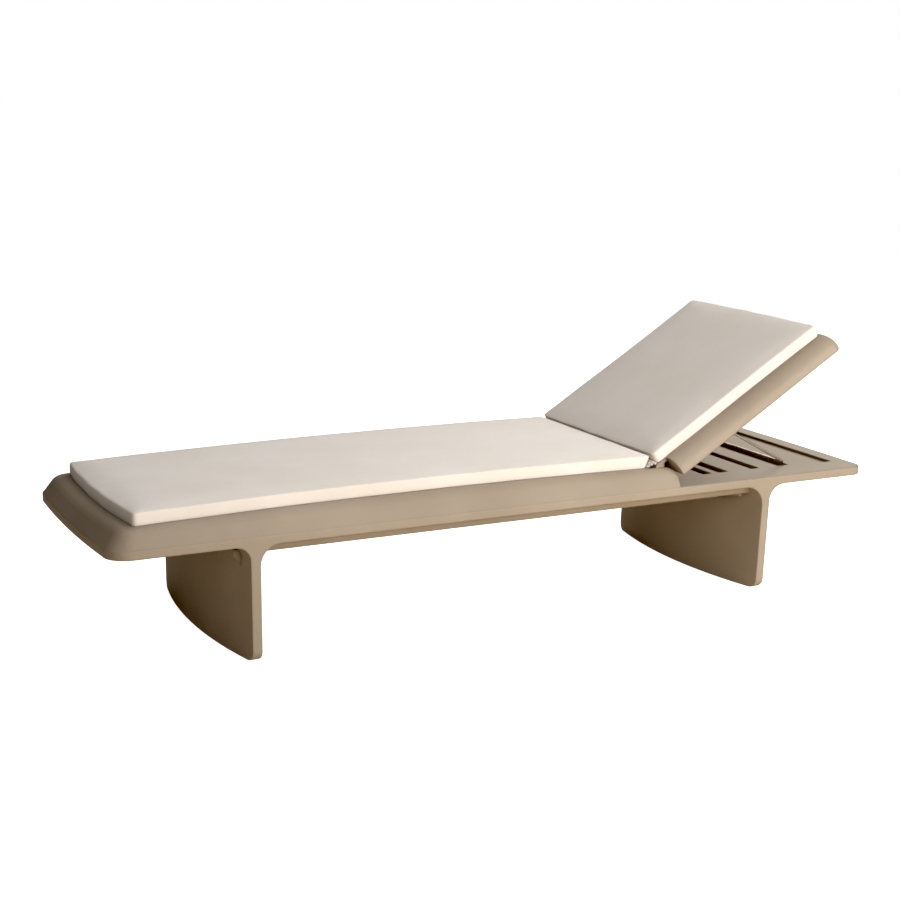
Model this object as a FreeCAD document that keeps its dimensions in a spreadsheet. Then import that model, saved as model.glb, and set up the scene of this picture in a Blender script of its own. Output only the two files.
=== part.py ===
import FreeCAD, Part
import Sketcher
import math
import os

# Relaxation lounger: a moulded body with two bowed blade legs, a hinged back panel
# held up by a wire prop, and two loose pads.
# +X points to the head end, +Y to the far side, +Z up.
# The origin lies on the floor under the middle of the body.
# All lengths are millimetres, all angles degrees.

Vector = FreeCAD.Vector
Rotation = FreeCAD.Rotation
Placement = FreeCAD.Placement
UP = Vector(0, 0, 1)
ACROSS = Vector(0, 1, 0)
ALONG = Vector(1, 0, 0)
ORIGIN = Vector(0, 0, 0)

doc = FreeCAD.newDocument("relaxation_lounger")

# Driving sizes, each with the words that explain it.
SIZES = (
    ("overall_length", 2080, "foot end to head end"),
    ("overall_width", 696, "near rim to far rim"),
    ("plate_top", 301, "top of the thin plate above the floor"),
    ("plate_thickness", 22, "thin plate that runs from end to end"),
    ("foot_bow", 14, "how far the foot end bulges"),
    ("head_bow", 5, "how far the head end bulges"),
    ("foot_corner", 56, "plan radius of the two foot corners"),
    ("head_corner", 38, "plan radius of the two head corners"),
    ("rim_round", 4, "rounded edge of the plate"),
    ("overrun", 20, "how far cutting bodies run past what they cut"),
    ("seat_ledge", 2, "flat strip between rim and slope"),
    ("seat_side_run", 29, "how far each side slope leans inwards"),
    ("shoulder_round", 30, "rounded shoulder between slope and seat"),
    ("seat_foot_run", 31, "how far the foot slope leans inwards"),
    ("seat_corner", 40, "plan radius at the top of the slope"),
    ("seat_slope_height", 46, "height over which the slope is drawn"),
    ("seat_foot_height", 39, "seat above the plate at the foot end"),
    ("seat_crown_height", 52, "seat above the plate at its highest"),
    ("seat_crown_place", -300, "where along the body the seat is highest"),
    ("seat_head_height", 44, "seat above the plate beside the hinge"),
    ("nose_round", 20, "rounding of the seat's head edge"),
    ("keel_depth", 26.5, "how far the keel hangs under the plate"),
    ("keel_inset", 16, "keel side behind the rim, at the plate"),
    ("keel_side_run", 20, "how far each keel side leans inwards"),
    ("keel_corner", 9, "rounding of the keel's lower edges"),
    ("foot_leg_run", 300, "foot end to the foot leg's outer face, on the centre line"),
    ("foot_leg_place", "=foot_leg_run - overall_length / 2", "outer face of the foot leg along the body"),
    ("foot_leg_radius", 1650, "bow of the foot leg in plan"),
    ("foot_leg_thickness", 23, "foot leg blade"),
    ("foot_leg_lean", 1, "top of the foot leg leans this far to the head end"),
    ("foot_leg_outer_fillet", 36, "foot leg to plate, foot side"),
    ("foot_leg_inner_fillet", 50, "foot leg to plate, head side"),
    ("head_leg_run", 387, "head end to the head leg's outer face, on the centre line"),
    ("head_leg_place", "=overall_length / 2 - head_leg_run", "outer face of the head leg along the body"),
    ("head_leg_radius", 1450, "bow of the head leg in plan"),
    ("head_leg_thickness", 21, "head leg blade"),
    ("head_leg_lean", 15, "top of the head leg leans this far to the head end"),
    ("head_leg_outer_fillet", 50, "head leg to plate, foot side"),
    ("head_leg_inner_fillet", 44, "head leg to plate, head side"),
    ("leg_corner", 24, "rounded lower corners of the blades"),
    ("glide_height", 4, "glide strip, from floor to its seat in the blade"),
    ("glide_shown", 1.5, "part of the glide below the blade"),
    ("glide_length", 60, "glide strip across the lounger"),
    ("glide_width", 12, "glide strip along the lounger"),
    ("glide_inset", 86, "glide strips from the rim"),
    ("glide_spread", "=overall_width / 2 - glide_inset", "glide strips from the centre line"),
    ("notch_depth", 10, "depth of the prop notches"),
    ("notch_half_length", 248, "prop notches from the centre line"),
    ("notch_corner", 4, "plan radius of the notch corners"),
    ("notch_one_run", 440, "first notch, nearest the hinge, from the head end"),
    ("notch_one_place", "=overall_length / 2 - notch_one_run", "the same along the body"),
    ("notch_one_width", 28, "first notch"),
    ("notch_two_run", 389.5, "second notch, from the head end"),
    ("notch_two_place", "=overall_length / 2 - notch_two_run", "the same along the body"),
    ("notch_two_width", 31, "second notch"),
    ("notch_three_run", 288, "third notch, from the head end"),
    ("notch_three_place", "=overall_length / 2 - notch_three_run", "the same along the body"),
    ("notch_three_width", 27, "third notch"),
    ("notch_four_run", 198.5, "fourth notch, in use, from the head end"),
    ("notch_four_place", "=overall_length / 2 - notch_four_run", "the same along the body"),
    ("notch_four_width", 36, "fourth notch"),
    ("grip_recess_run", 74, "finger recess at the head end, from the head end"),
    ("grip_recess_place", "=overall_length / 2 - grip_recess_run", "the same along the body"),
    ("grip_recess_width", 50, "finger recess"),
    ("grip_recess_depth", 7, "finger recess"),
    ("grip_recess_half_length", 262, "finger recess from the centre line"),
    ("hinge_run", 630, "hinge axis from the head end"),
    ("hinge_place", "=overall_length / 2 - hinge_run", "hinge axis along the body"),
    ("hinge_spread", 205, "hinges from the centre line"),
    ("recline_angle", 31.5, "back panel above level, as shown, in degrees"),
    ("nose_gap", 4, "gap between nose and level back panel"),
    ("hinge_pin_radius", 4, "hinge pins"),
    ("hinge_pin_head", 6.5, "radius of the pin heads"),
    ("hinge_pin_head_height", 2.5, "pin heads"),
    ("running_gap", 0.05, "radial clearance of turning fits"),
    ("small_gap", 0.3, "clearance between neighbours that only rest"),
    ("pocket_width", 56, "hinge pocket in the seat's nose"),
    ("pocket_length", 34, "hinge pocket behind the hinge axis"),
    ("pocket_floor", 8, "hinge pocket floor above the plate"),
    ("bracket_gauge", 3, "steel of the hinge brackets"),
    ("bracket_gap", 10.4, "clear width between the bracket's ears"),
    ("bracket_length", 52, "foot of the hinge bracket"),
    ("bracket_back", 28, "foot of the hinge bracket behind the hinge axis"),
    ("bracket_width", 50, "foot of the hinge bracket across the lounger"),
    ("bracket_ear_radius", 9, "ears around the hinge pin"),
    ("bracket_screw_spread", 17, "bracket screws from the bracket's middle"),
    ("screw_radius", 2.5, "screw shanks"),
    ("screw_head_radius", 4.5, "screw heads"),
    ("screw_head_height", 2.2, "screw heads"),
    ("screw_length", 12, "screws under the head"),
    ("arm_thickness", 8, "hinge arm across the lounger"),
    ("arm_height", 16, "hinge arm, square to the panel"),
    ("arm_eye_radius", 9, "eye of the hinge arm"),
    ("arm_bush_radius", 5.5, "bush in the arm's eye"),
    ("arm_bush_overhang", 1, "bush beyond each side of the arm"),
    ("arm_foot_start", 58, "arm foot from the hinge axis"),
    ("arm_foot_length", 84, "arm foot that the screws pass"),
    ("arm_foot_width", 30, "arm foot across the lounger"),
    ("arm_foot_gauge", 4, "arm foot"),
    ("arm_screw_spread", 9.5, "arm screws from the arm's middle"),
    ("arm_screw_margin", 18, "arm screws from the ends of the foot"),
    ("arm_slot_width", 34, "slot in the panel for the arm"),
    ("arm_slot_margin", 8, "slot beyond the arm's foot"),
    ("panel_start", 50, "panel's lower end from the hinge axis"),
    ("panel_end", 620, "panel's tip from the hinge axis"),
    ("panel_under", 21.5, "panel's underside below the hinge axis"),
    ("panel_over", 22.5, "panel's top above the hinge axis"),
    ("level_gap", 2.5, "level panel above the plate"),
    ("hinge_height", "=plate_top + panel_under + level_gap", "hinge axis above the floor"),
    ("panel_lip", 4, "upright edge around the panel's underside"),
    ("panel_end_run", 15, "how far the tip leans inwards"),
    ("panel_side_run", 42, "how far the panel's sides lean inwards"),
    ("panel_corner", 24, "plan radius of the panel's tip corners at the lip"),
    ("lug_inset", 61, "moulded hinge lugs from the rim"),
    ("lug_spread", "=overall_width / 2 - lug_inset", "moulded hinge lugs from the centre line"),
    ("lug_width", 22, "one moulded lug"),
    ("lug_clearance", 1, "gap beside a lug in its pocket"),
    ("lug_overlap", 5, "how far a lug runs into the panel"),
    ("lug_brow", 16, "where a lug's top starts from the hinge axis"),
    ("lug_toe", 6, "how far a lug reaches behind the hinge axis"),
    ("lug_drop", 8, "how far a lug reaches below the hinge axis"),
    ("lug_heel_run", 31, "lower corner of a lug's back from the hinge axis"),
    ("lug_heel_rise", 3, "height of that corner above the axis"),
    ("lug_waist_run", 37.5, "upper corner of a lug's back from the hinge axis"),
    ("lug_waist_rise", 13.4, "height of that corner above the axis"),
    ("lug_pocket_length", 20, "lug pocket behind the hinge axis"),
    ("lug_pocket_depth", 16, "lug pocket below the hinge axis"),
    ("panel_top_corner", 18, "the same at the top"),
    ("buffer_radius", 8, "rubber buffers under the panel"),
    ("buffer_height", 2.2, "rubber buffers below the panel"),
    ("buffer_stem_radius", 3.5, "buffer stems in the panel"),
    ("buffer_stem_height", 9, "buffer stems in the panel"),
    ("buffer_inset", 36, "buffers from the rim"),
    ("buffer_spread", "=overall_width / 2 - buffer_inset", "buffers from the centre line"),
    ("buffer_first", 120, "first pair of buffers from the hinge axis"),
    ("buffer_second", 556, "second pair of buffers from the hinge axis"),
    ("wire_radius", 3, "prop wire"),
    ("wire_bend", 14, "centre-line radius of the wire's bends"),
    ("wire_half_width", 236, "prop legs from the centre line"),
    ("wire_stub", 38, "turned-out ends of the wire"),
    ("prop_pivot_out", 240, "prop pivot from the hinge axis along the panel"),
    ("prop_pivot_down", 14, "prop pivot below the hinge axis"),
    ("prop_foot_run", 185, "foot bar of the prop from the head end, as shown"),
    ("prop_foot_place", "=overall_length / 2 - prop_foot_run", "the same along the body"),
    ("prop_foot_lift", 0.6, "foot bar above the plate, free of the notch walls"),
    ("clip_radius", 7.5, "clip around the prop bush"),
    ("clip_width", 18, "clips across the lounger"),
    ("clip_spread", 261, "clips from the centre line"),
    ("clip_foot_length", 44, "clip foot along the panel"),
    ("clip_foot_gauge", 5, "clip foot"),
    ("clip_screw_spread", 16, "clip screws from the clip's middle"),
    ("prop_bush_radius", 4.5, "bushes on the wire ends"),
    ("prop_bush_overhang", 1, "bush beyond each side of the clip"),
    ("prop_recess_depth", 24, "recess in the panel for the folded prop"),
    ("prop_recess_start", 206, "recess from the hinge axis"),
    ("prop_recess_end", 528, "recess from the hinge axis"),
    ("prop_recess_half", 280, "recess from the centre line"),
    ("prop_recess_corner", 12, "plan radius of the recess"),
    ("pad_half_width", 300, "pads from the centre line"),
    ("pad_corner", 16, "plan radius of the pads' corners"),
    ("pad_draw", 2.5, "how far the pads' sides are drawn in"),
    ("pad_top_round", 10, "rounding of the pads' top edges"),
    ("pad_ease", 1, "stand-off of the curves that round the pads' edges"),
    ("pad_crown", 5, "how much thicker the pads are in the middle"),
    ("pad_thickness", 31, "pads at their edges"),
    ("cover_gauge", 1.5, "fabric of the pad covers"),
    ("foam_gap", 0.1, "foam to cover"),
    ("seat_pad_margin", 60, "foot end of the body to the seat pad"),
    ("seat_pad_foot", "=seat_pad_margin - overall_length / 2", "foot end of the seat pad along the body"),
    ("seat_pad_bow", 17, "how far the seat pad's foot end bulges"),
    ("seat_pad_stop", 30, "seat pad's head end before the hinge axis"),
    ("seat_pad_head", "=hinge_place - seat_pad_stop", "head end of the seat pad along the body"),
    ("back_pad_start", 20, "back pad's lower end from the hinge axis"),
    ("back_pad_end", 602, "back pad's upper end from the hinge axis"),
    ("back_pad_bow", 4, "how far the back pad's upper end bulges"),
    ("grip_length", 90, "hook-and-loop strips across the lounger"),
    ("grip_width", 25, "hook-and-loop strips along the lounger"),
    ("grip_gauge", 1.6, "hook-and-loop strips"),
    ("grip_proud", 0.2, "strips above the surface they are set in"),
    ("grip_spread", 190, "strips from the centre line"),
    ("seat_grip_margin", 120, "first pair of seat strips from the pad's foot end"),
    ("seat_grip_foot", "=seat_pad_foot + seat_grip_margin", "first pair of seat strips along the body"),
    ("seat_grip_stop", 160, "second pair of seat strips before the hinge axis"),
    ("seat_grip_head", "=hinge_place - seat_grip_stop", "second pair of seat strips along the body"),
    ("back_grip_first", 130, "first pair of back strips from the hinge axis"),
    ("back_grip_second", 540, "second pair of back strips from the hinge axis"),
)

# Shares that shape the seat's straight slope: its foot (0) and a point above its top (1).
slope_in_shares = (0.0, 1.4)
slope_up_shares = (0.0, 1.4)

# Shares that shape the back panel's bulging sides, from the lip (0) to its top (1).
bulge_in_shares = (0.0, 0.04, 0.15, 0.34, 0.62, 1.0)
bulge_up_shares = (0.0, 0.25, 0.5, 0.72, 0.9, 1.0)
half_share = 0.5

sheet = doc.addObject("Spreadsheet::Sheet", "sizes")
for row, (alias, value, words) in enumerate(SIZES, start=1):
    sheet.set("A%d" % row, words)
    sheet.set("B%d" % row, str(value))
    sheet.setAlias("B%d" % row, alias)
doc.recompute()


def size(name):
    """A driving size, read back from the sheet."""
    return float(sheet.get(name))


# Sizes that several pieces share, worked out from the sheet.
half_length = size("overall_length") / 2
half_width = size("overall_width") / 2
plate_under = size("plate_top") - size("plate_thickness")
keel_under = plate_under - size("keel_depth")
overrun = size("overrun")
pocket_floor = size("plate_top") + size("pocket_floor")
nose_end = size("hinge_place") + size("panel_start") - size("nose_gap")
small_gap = size("small_gap")
hinge_axis = Vector(size("hinge_place"), 0, size("hinge_height"))
raised = Placement(hinge_axis, Rotation(Vector(0, -1, 0), size("recline_angle")))


def feature(name, shape, placement=Placement()):
    """A sub-part whose shape is built with Part's own functions."""
    part = doc.addObject("Part::Feature", name)
    part.Label = name
    part.Shape = shape
    part.Placement = placement
    return part


def box(x_low, x_high, y_low, y_high, z_low, z_high):
    """A box between two corners."""
    corner = Vector(x_low, y_low, z_low)
    return Part.makeBox(x_high - x_low, y_high - y_low, z_high - z_low, corner)


def mirrored(shape):
    """The same shape on the far side."""
    return shape.mirror(ORIGIN, ACROSS)


def across(point):
    """A point's mirror image on the other side of the centre line."""
    return Vector(point.x, -point.y, point.z)


def bowed_end(place, bow, half, corner, side):
    """Edges of one bulging end from +Y to -Y; side is -1 at the foot, 1 at the head."""
    if bow <= 0:
        return None
    big = (half * half + bow * bow) / (2 * bow)
    centre = Vector(place - side * big, 0, 0)
    reach = math.sqrt((big - corner) ** 2 - (half - corner) ** 2)
    corner_centre = Vector(centre.x + side * reach, half - corner, 0)
    outward = (corner_centre - centre).normalize()
    touch = centre + outward * big
    middle = (outward + ACROSS).normalize()
    middle = corner_centre + middle * corner
    start = Vector(corner_centre.x, half, 0)
    return [
        Part.Arc(start, middle, touch).toShape(),
        Part.Arc(touch, Vector(place, 0, 0), across(touch)).toShape(),
        Part.Arc(across(touch), across(middle), across(start)).toShape(),
    ]


def end_start(edges):
    """Where the long sides meet an end: the first and last points of its edges."""
    return edges[0].Vertexes[0].Point, edges[-1].Vertexes[-1].Point


def outline(foot, head, height, side_draw=0.0):
    """A closed plan outline from a foot end and a head end, each a list of edges."""
    foot_far, foot_near = end_start(foot)
    head_far, head_near = end_start(head)
    if side_draw:
        middle = (foot_far + head_far) * 0.5 - ACROSS * side_draw
        far = Part.Arc(head_far, middle, foot_far).toShape()
        middle = (foot_near + head_near) * 0.5 + ACROSS * side_draw
        near = Part.Arc(foot_near, middle, head_near).toShape()
    else:
        far = Part.LineSegment(head_far, foot_far).toShape()
        near = Part.LineSegment(foot_near, head_near).toShape()
    edges = [far] + foot + [near] + [edge.reversed() for edge in reversed(head)]
    wire = Part.Wire(Part.__sortEdges__(edges))
    wire.translate(UP * height)
    return wire


def square_end(place, half):
    """A straight end across the outline."""
    return [Part.LineSegment(Vector(place, half, 0), Vector(place, -half, 0)).toShape()]


def prism(wire, height):
    """A plan outline drawn upwards into a solid."""
    return Part.Face(wire).extrude(UP * height)


def side_profile(points, half):
    """A side view, closed from its edges, drawn across the lounger."""
    face = Part.Face(Part.Wire(points))
    face.translate(ACROSS * -half)
    return face.extrude(ACROSS * (2 * half))


def line(start, end):
    """A straight edge in the side view, from (x, z) to (x, z)."""
    return Part.LineSegment(Vector(start[0], 0, start[1]), Vector(end[0], 0, end[1])).toShape()


def arc(start, middle, end):
    """An arc in the side view through three (x, z) points."""
    points = [Vector(x, 0, z) for x, z in (start, middle, end)]
    return Part.Arc(*points).toShape()


def quarter(start, end, centre):
    """A quarter circle in the side view between two (x, z) points."""
    radius = math.hypot(start[0] - centre[0], start[1] - centre[1])
    lean_x = (start[0] + end[0]) / 2 - centre[0]
    lean_z = (start[1] + end[1]) / 2 - centre[1]
    reach = radius / math.hypot(lean_x, lean_z)
    return arc(start, (centre[0] + lean_x * reach, centre[1] + lean_z * reach), end)


# Moulded body: plate, raised seat, keel and legs in one piece.

def rim_plate():
    """The thin plate with its bulging ends, round corners and rounded rim."""
    foot = bowed_end(-half_length, size("foot_bow"), half_width, size("foot_corner"), -1)
    head = bowed_end(half_length, size("head_bow"), half_width, size("head_corner"), 1)
    plate = prism(outline(foot, head, plate_under), size("plate_thickness"))
    upper = [edge for edge in plate.Edges if edge.BoundBox.ZMin > size("plate_top") - small_gap]
    return plate.makeFillet(size("rim_round"), upper)


seat_top_foot = (-half_length, size("plate_top") + size("seat_foot_height"))
seat_top_crown = (size("seat_crown_place"), size("plate_top") + size("seat_crown_height"))
seat_top_head = (nose_end, size("plate_top") + size("seat_head_height"))


def seat_arch():
    """The seat's top line in the side view, foot to head."""
    return arc(seat_top_foot, seat_top_crown, seat_top_head)


def seat_height(place):
    """Height of the seat's top line above the floor at a place along the body."""
    curve = seat_arch().Curve
    drop = math.sqrt(curve.Radius ** 2 - (place - curve.Center.x) ** 2)
    return curve.Center.z + drop


def rounded_shoulder(block, above, square_face):
    """Rounds a block's top edges above a height, all but those on its square end."""
    top = []
    for edge in block.Edges:
        bounds = edge.BoundBox
        away = max(abs(bounds.XMin - square_face), abs(bounds.XMax - square_face))
        if bounds.ZMin > above and away > small_gap:
            top.append(edge)
    return block.makeFillet(size("shoulder_round"), top)


def raised_seat():
    """The seat block: sloped sides, arched top and a rounded nose at the hinge."""
    sections = []
    for inwards, upwards in zip(slope_in_shares, slope_up_shares):
        half = half_width - size("seat_ledge") - inwards * size("seat_side_run")
        foot_place = -half_length + size("seat_ledge") + inwards * size("seat_foot_run")
        corner = size("foot_corner") + inwards * (size("seat_corner") - size("foot_corner"))
        foot = bowed_end(foot_place, size("foot_bow"), half, corner, -1)
        height = size("plate_top") - small_gap + upwards * size("seat_slope_height")
        sections.append(outline(foot, square_end(nose_end + overrun, half), height))
    block = Part.makeLoft(sections, True, True)
    floor = size("plate_top") - overrun / 2
    nose = size("nose_round")
    nose_top = seat_height(nose_end - nose)
    before_nose = (nose_end - nose, nose_top)
    after_nose = (nose_end, nose_top - nose)
    mid = ((seat_top_foot[0] + before_nose[0]) / 2)
    mid = (mid, seat_height(mid))
    outer = (seat_top_foot[0], floor)
    inner = (nose_end, floor)
    reach = half_width + overrun
    far_end = nose_end + 2 * overrun
    far_top = (far_end, seat_height(far_end))
    under_arch = [
        arc(seat_top_foot, mid, far_top),
        line(far_top, (far_end, floor)),
        line((far_end, floor), outer),
        line(outer, seat_top_foot),
    ]
    block = block.common(side_profile(under_arch, reach)).removeSplitter()
    block = rounded_shoulder(block, size("plate_top") + size("seat_foot_height") / 2, nose_end + overrun)
    profile = [
        arc(seat_top_foot, mid, before_nose),
        quarter(before_nose, after_nose, (nose_end - nose, nose_top - nose)),
        line(after_nose, inner),
        line(inner, outer),
        line(outer, seat_top_foot),
    ]
    return block.common(side_profile(profile, reach))


def blade_core(leg):
    """An upright disc that ends in the middle of a bowed blade's top."""
    radius = size(leg + "_radius") - size(leg + "_lean") - size(leg + "_thickness") / 2
    centre = Vector(size(leg + "_place") + size(leg + "_radius"), 0, keel_under - overrun)
    return Part.makeCylinder(radius, size("plate_top") - keel_under + overrun, centre)


def keel():
    """The deeper belly between the two legs."""
    start = size("foot_leg_place")
    end = size("head_leg_place") + size("head_leg_inner_fillet") + overrun
    reach = half_width - size("keel_inset")
    run = size("keel_side_run")
    round_off = size("keel_corner")
    top = plate_under + size("plate_thickness") / 2
    lean = run / size("keel_depth")
    corners = [
        (-reach, top),
        (-reach, plate_under),
        (-reach + run - round_off * lean, keel_under + round_off),
        (-reach + run + round_off, keel_under),
    ]
    path = [Vector(start, y, z) for y, z in corners]
    edges = [Part.LineSegment(path[0], path[1]).toShape(), Part.LineSegment(path[1], path[2]).toShape()]
    knee = Vector(start, -reach + run, keel_under)
    middle = (path[2] + path[3]) * 0.25 + knee * 0.5
    edges.append(Part.Arc(path[2], middle, path[3]).toShape())
    far = [edge.mirror(ORIGIN, ACROSS) for edge in edges]
    edges.append(Part.LineSegment(path[3], across(path[3])).toShape())
    edges.append(Part.LineSegment(path[0], across(path[0])).toShape())
    face = Part.Face(Part.Wire(Part.__sortEdges__(edges + far)))
    belly = face.extrude(ALONG * (end - start))
    return belly.common(blade_core("foot_leg")).cut(blade_core("head_leg"))


def head_fillet(toe, lean, rise, side, radius, ceiling):
    """Ends and middle of the fillet between a leaning blade face and the ceiling above it."""
    length = math.hypot(lean, rise)
    along = (lean / length, rise / length)
    away = (side * along[1], -side * along[0])
    centre_z = ceiling - radius
    climb = (centre_z - toe[1] - away[1] * radius) / along[1]
    knee = (toe[0] + along[0] * climb, toe[1] + along[1] * climb)
    centre = (knee[0] + away[0] * radius, centre_z)
    tip = (centre[0], ceiling)
    return knee, tip, centre


def blade(place, radius, thickness, lean, outer_fillet, inner_fillet, ceiling):
    """One leg with its T-shaped head, turned about a far upright axis so that it bows."""
    top = ceiling + size("plate_thickness") / 2
    low = size("glide_shown")
    toe = (place, low)
    heel = (place + thickness, low)
    rise = plate_under - low
    outer_knee, outer_tip, outer_centre = head_fillet(toe, lean, rise, -1, outer_fillet, ceiling)
    inner_knee, inner_tip, inner_centre = head_fillet(heel, lean, rise, 1, inner_fillet, ceiling)
    outer_top = (outer_tip[0], top)
    inner_top = (inner_tip[0], top)
    profile = [
        line(toe, outer_knee),
        quarter(outer_knee, outer_tip, outer_centre),
        line(outer_tip, outer_top),
        line(outer_top, inner_top),
        line(inner_top, inner_tip),
        quarter(inner_tip, inner_knee, inner_centre),
        line(inner_knee, heel),
        line(heel, toe),
    ]
    face = Part.Face(Part.Wire(profile))
    spread = math.degrees(math.asin((half_width + overrun) / (radius - thickness - inner_fillet - lean)))
    axis = Vector(place + radius, 0, 0)
    face.rotate(axis, UP, -spread)
    return face.revolve(axis, UP, 2 * spread)


def blade_of(leg, ceiling):
    """A leg made from its own named sizes under a given ceiling."""
    return blade(size(leg + "_place"), size(leg + "_radius"), size(leg + "_thickness"),
                 size(leg + "_lean"), size(leg + "_outer_fillet"), size(leg + "_inner_fillet"), ceiling)


def leg_window(half, corner):
    """Front view of both legs: full width with rounded lower corners."""
    low = size("glide_shown")
    block = box(-half_length, half_length, -half, half, low, size("plate_top"))
    edges = [edge for edge in block.Edges
             if edge.BoundBox.ZMax < low + small_gap and edge.BoundBox.YLength < small_gap]
    return block.makeFillet(corner, edges)


def notch(place, width, half, depth):
    """A slot cut down into the head plate, with rounded corners in plan."""
    top = size("plate_top")
    block = box(place - width / 2, place + width / 2, -half, half, top - depth, top + overrun)
    upright = [edge for edge in block.Edges if edge.BoundBox.ZLength > depth]
    return block.makeFillet(size("notch_corner"), upright)


notches = (
    ("notch_one", "notch_half_length", "notch_depth"),
    ("notch_two", "notch_half_length", "notch_depth"),
    ("notch_three", "notch_half_length", "notch_depth"),
    ("notch_four", "notch_half_length", "notch_depth"),
    ("grip_recess", "grip_recess_half_length", "grip_recess_depth"),
)


def hinge_pocket():
    """Open pocket in the seat's nose for one hinge."""
    centre = -size("hinge_spread")
    half = size("pocket_width") / 2
    start = size("hinge_place") - size("pocket_length")
    top = seat_top_crown[1] + overrun
    return box(start, nose_end + overrun, centre - half, centre + half, pocket_floor, top)


def lug_pocket():
    """Narrow open pocket in the seat's nose that a moulded lug turns in."""
    half = size("lug_width") / 2 + size("lug_clearance")
    start = size("hinge_place") - size("lug_pocket_length")
    low = size("hinge_height") - size("lug_pocket_depth")
    top = seat_top_crown[1] + overrun
    return box(start, nose_end + overrun, -size("lug_spread") - half, -size("lug_spread") + half, low, top)


def hole(radius, length, at, direction=UP):
    """A round hole or stud."""
    return Part.makeCylinder(radius, length, at, direction)


def seat_slope_at(place):
    """Slope of the seat's top line in degrees at a place along the body."""
    step = size("grip_width")
    return math.degrees(math.atan2(seat_height(place + step) - seat_height(place - step), 2 * step))


def blade_middle(leg):
    """Where the middle of a blade's lower edge lies at the glides."""
    radius = size(leg + "_radius")
    back = radius - math.sqrt((radius - size(leg + "_thickness") / 2) ** 2 - size("glide_spread") ** 2)
    return size(leg + "_place") + back


def leg_turn(leg):
    """Angle by which a blade has turned in plan at the glides."""
    return math.degrees(math.asin(size("glide_spread") / size(leg + "_radius")))


def glide_places():
    """Four placements for the glides, each turned to follow its blade."""
    places = []
    for leg in ("foot_leg", "head_leg"):
        for side in (-1, 1):
            at = Vector(blade_middle(leg), side * size("glide_spread"), 0)
            places.append(Placement(at, Rotation(UP, -side * leg_turn(leg))))
    return places


def seat_grip_places():
    """Four placements for the strips on the seat, at the middle of each strip's top."""
    places = []
    for place in (size("seat_grip_foot"), size("seat_grip_head")):
        for side in (-1, 1):
            at = Vector(place, side * size("grip_spread"), seat_height(place) + size("grip_proud"))
            places.append(Placement(at, Rotation(Vector(0, -1, 0), seat_slope_at(place))))
    return places


def back_grip_places():
    """Four placements for the strips on the back panel, measured from the hinge axis."""
    places = []
    for out in (size("back_grip_first"), size("back_grip_second")):
        for side in (-1, 1):
            at = Vector(out, side * size("grip_spread"), size("panel_over") + size("grip_proud"))
            places.append(Placement(at, Rotation()))
    return places


def bracket_screw_places():
    """Four placements for the bracket screws, at the underside of each head."""
    places = []
    height = pocket_floor + size("bracket_gauge")
    for side in (-1, 1):
        for step in (-size("bracket_screw_spread"), size("bracket_screw_spread")):
            at = Vector(size("hinge_place"), side * size("hinge_spread") + step, height)
            places.append(Placement(at, Rotation()))
    return places


def placed(shape, placement):
    """A copy of a shape laid at a placement."""
    copy = shape.copy()
    copy.Placement = placement
    return copy


def strip_shape():
    """Room for one hook-and-loop strip."""
    half_x = size("grip_width") / 2
    half_y = size("grip_length") / 2
    return box(-half_x, half_x, -half_y, half_y, -size("grip_gauge"), 0)


def glide_shape():
    """Room for one glide strip."""
    half_x = size("glide_width") / 2
    half_y = size("glide_length") / 2
    return box(-half_x, half_x, -half_y, half_y, 0, size("glide_height"))


def lounger_body():
    """The whole moulding, with its pockets, notches and screw holes."""
    window = leg_window(half_width, size("leg_corner"))
    legs = [blade_of(leg, plate_under).common(window) for leg in ("foot_leg", "head_leg")]
    inner_half = half_width - size("keel_inset") - size("keel_side_run") - size("keel_corner")
    inner = blade_of("foot_leg", keel_under).fuse(blade_of("head_leg", keel_under))
    belly_start = size("foot_leg_place") + size("foot_leg_thickness") / 2
    belly_end = size("head_leg_place") + size("head_leg_thickness")
    inner = inner.common(box(belly_start, belly_end, -inner_half, inner_half, keel_under / 2, plate_under))
    body = rim_plate().fuse(legs).removeSplitter()
    for piece in (keel(), inner, raised_seat()):
        body = body.fuse(piece)
    cuts = [notch(size(name + "_place"), size(name + "_width"), size(half), size(depth))
            for name, half, depth in notches]
    cuts += [hinge_pocket(), mirrored(hinge_pocket()), lug_pocket(), mirrored(lug_pocket())]
    for place in bracket_screw_places():
        cuts.append(hole(size("screw_radius"), size("screw_length"), place.Base - UP * size("screw_length")))
    cuts += [placed(strip_shape(), place) for place in seat_grip_places()]
    cuts += [placed(glide_shape(), place) for place in glide_places()]
    return body.cut(cuts).removeSplitter()


# Back panel, drawn level and measured from the hinge axis, then raised.

def hinge_lug():
    """Moulded lug that carries the panel's top on down to the hinge, on the near side."""
    inside = size("panel_start") + size("lug_overlap")
    corners = [
        (inside, size("panel_over")),
        (size("lug_brow"), size("panel_over")),
        (-size("lug_toe"), size("lug_toe")),
        (-size("lug_toe"), -size("lug_drop")),
        (size("lug_toe"), -size("lug_drop")),
        (size("lug_heel_run"), size("lug_heel_rise")),
        (size("lug_waist_run"), size("lug_waist_rise")),
        (inside, size("lug_waist_rise")),
    ]
    side = -size("lug_spread") - size("lug_width") / 2
    points = [Vector(out, side, height) for out, height in corners + corners[:1]]
    return Part.Face(Part.makePolygon(points)).extrude(ACROSS * size("lug_width"))


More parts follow.
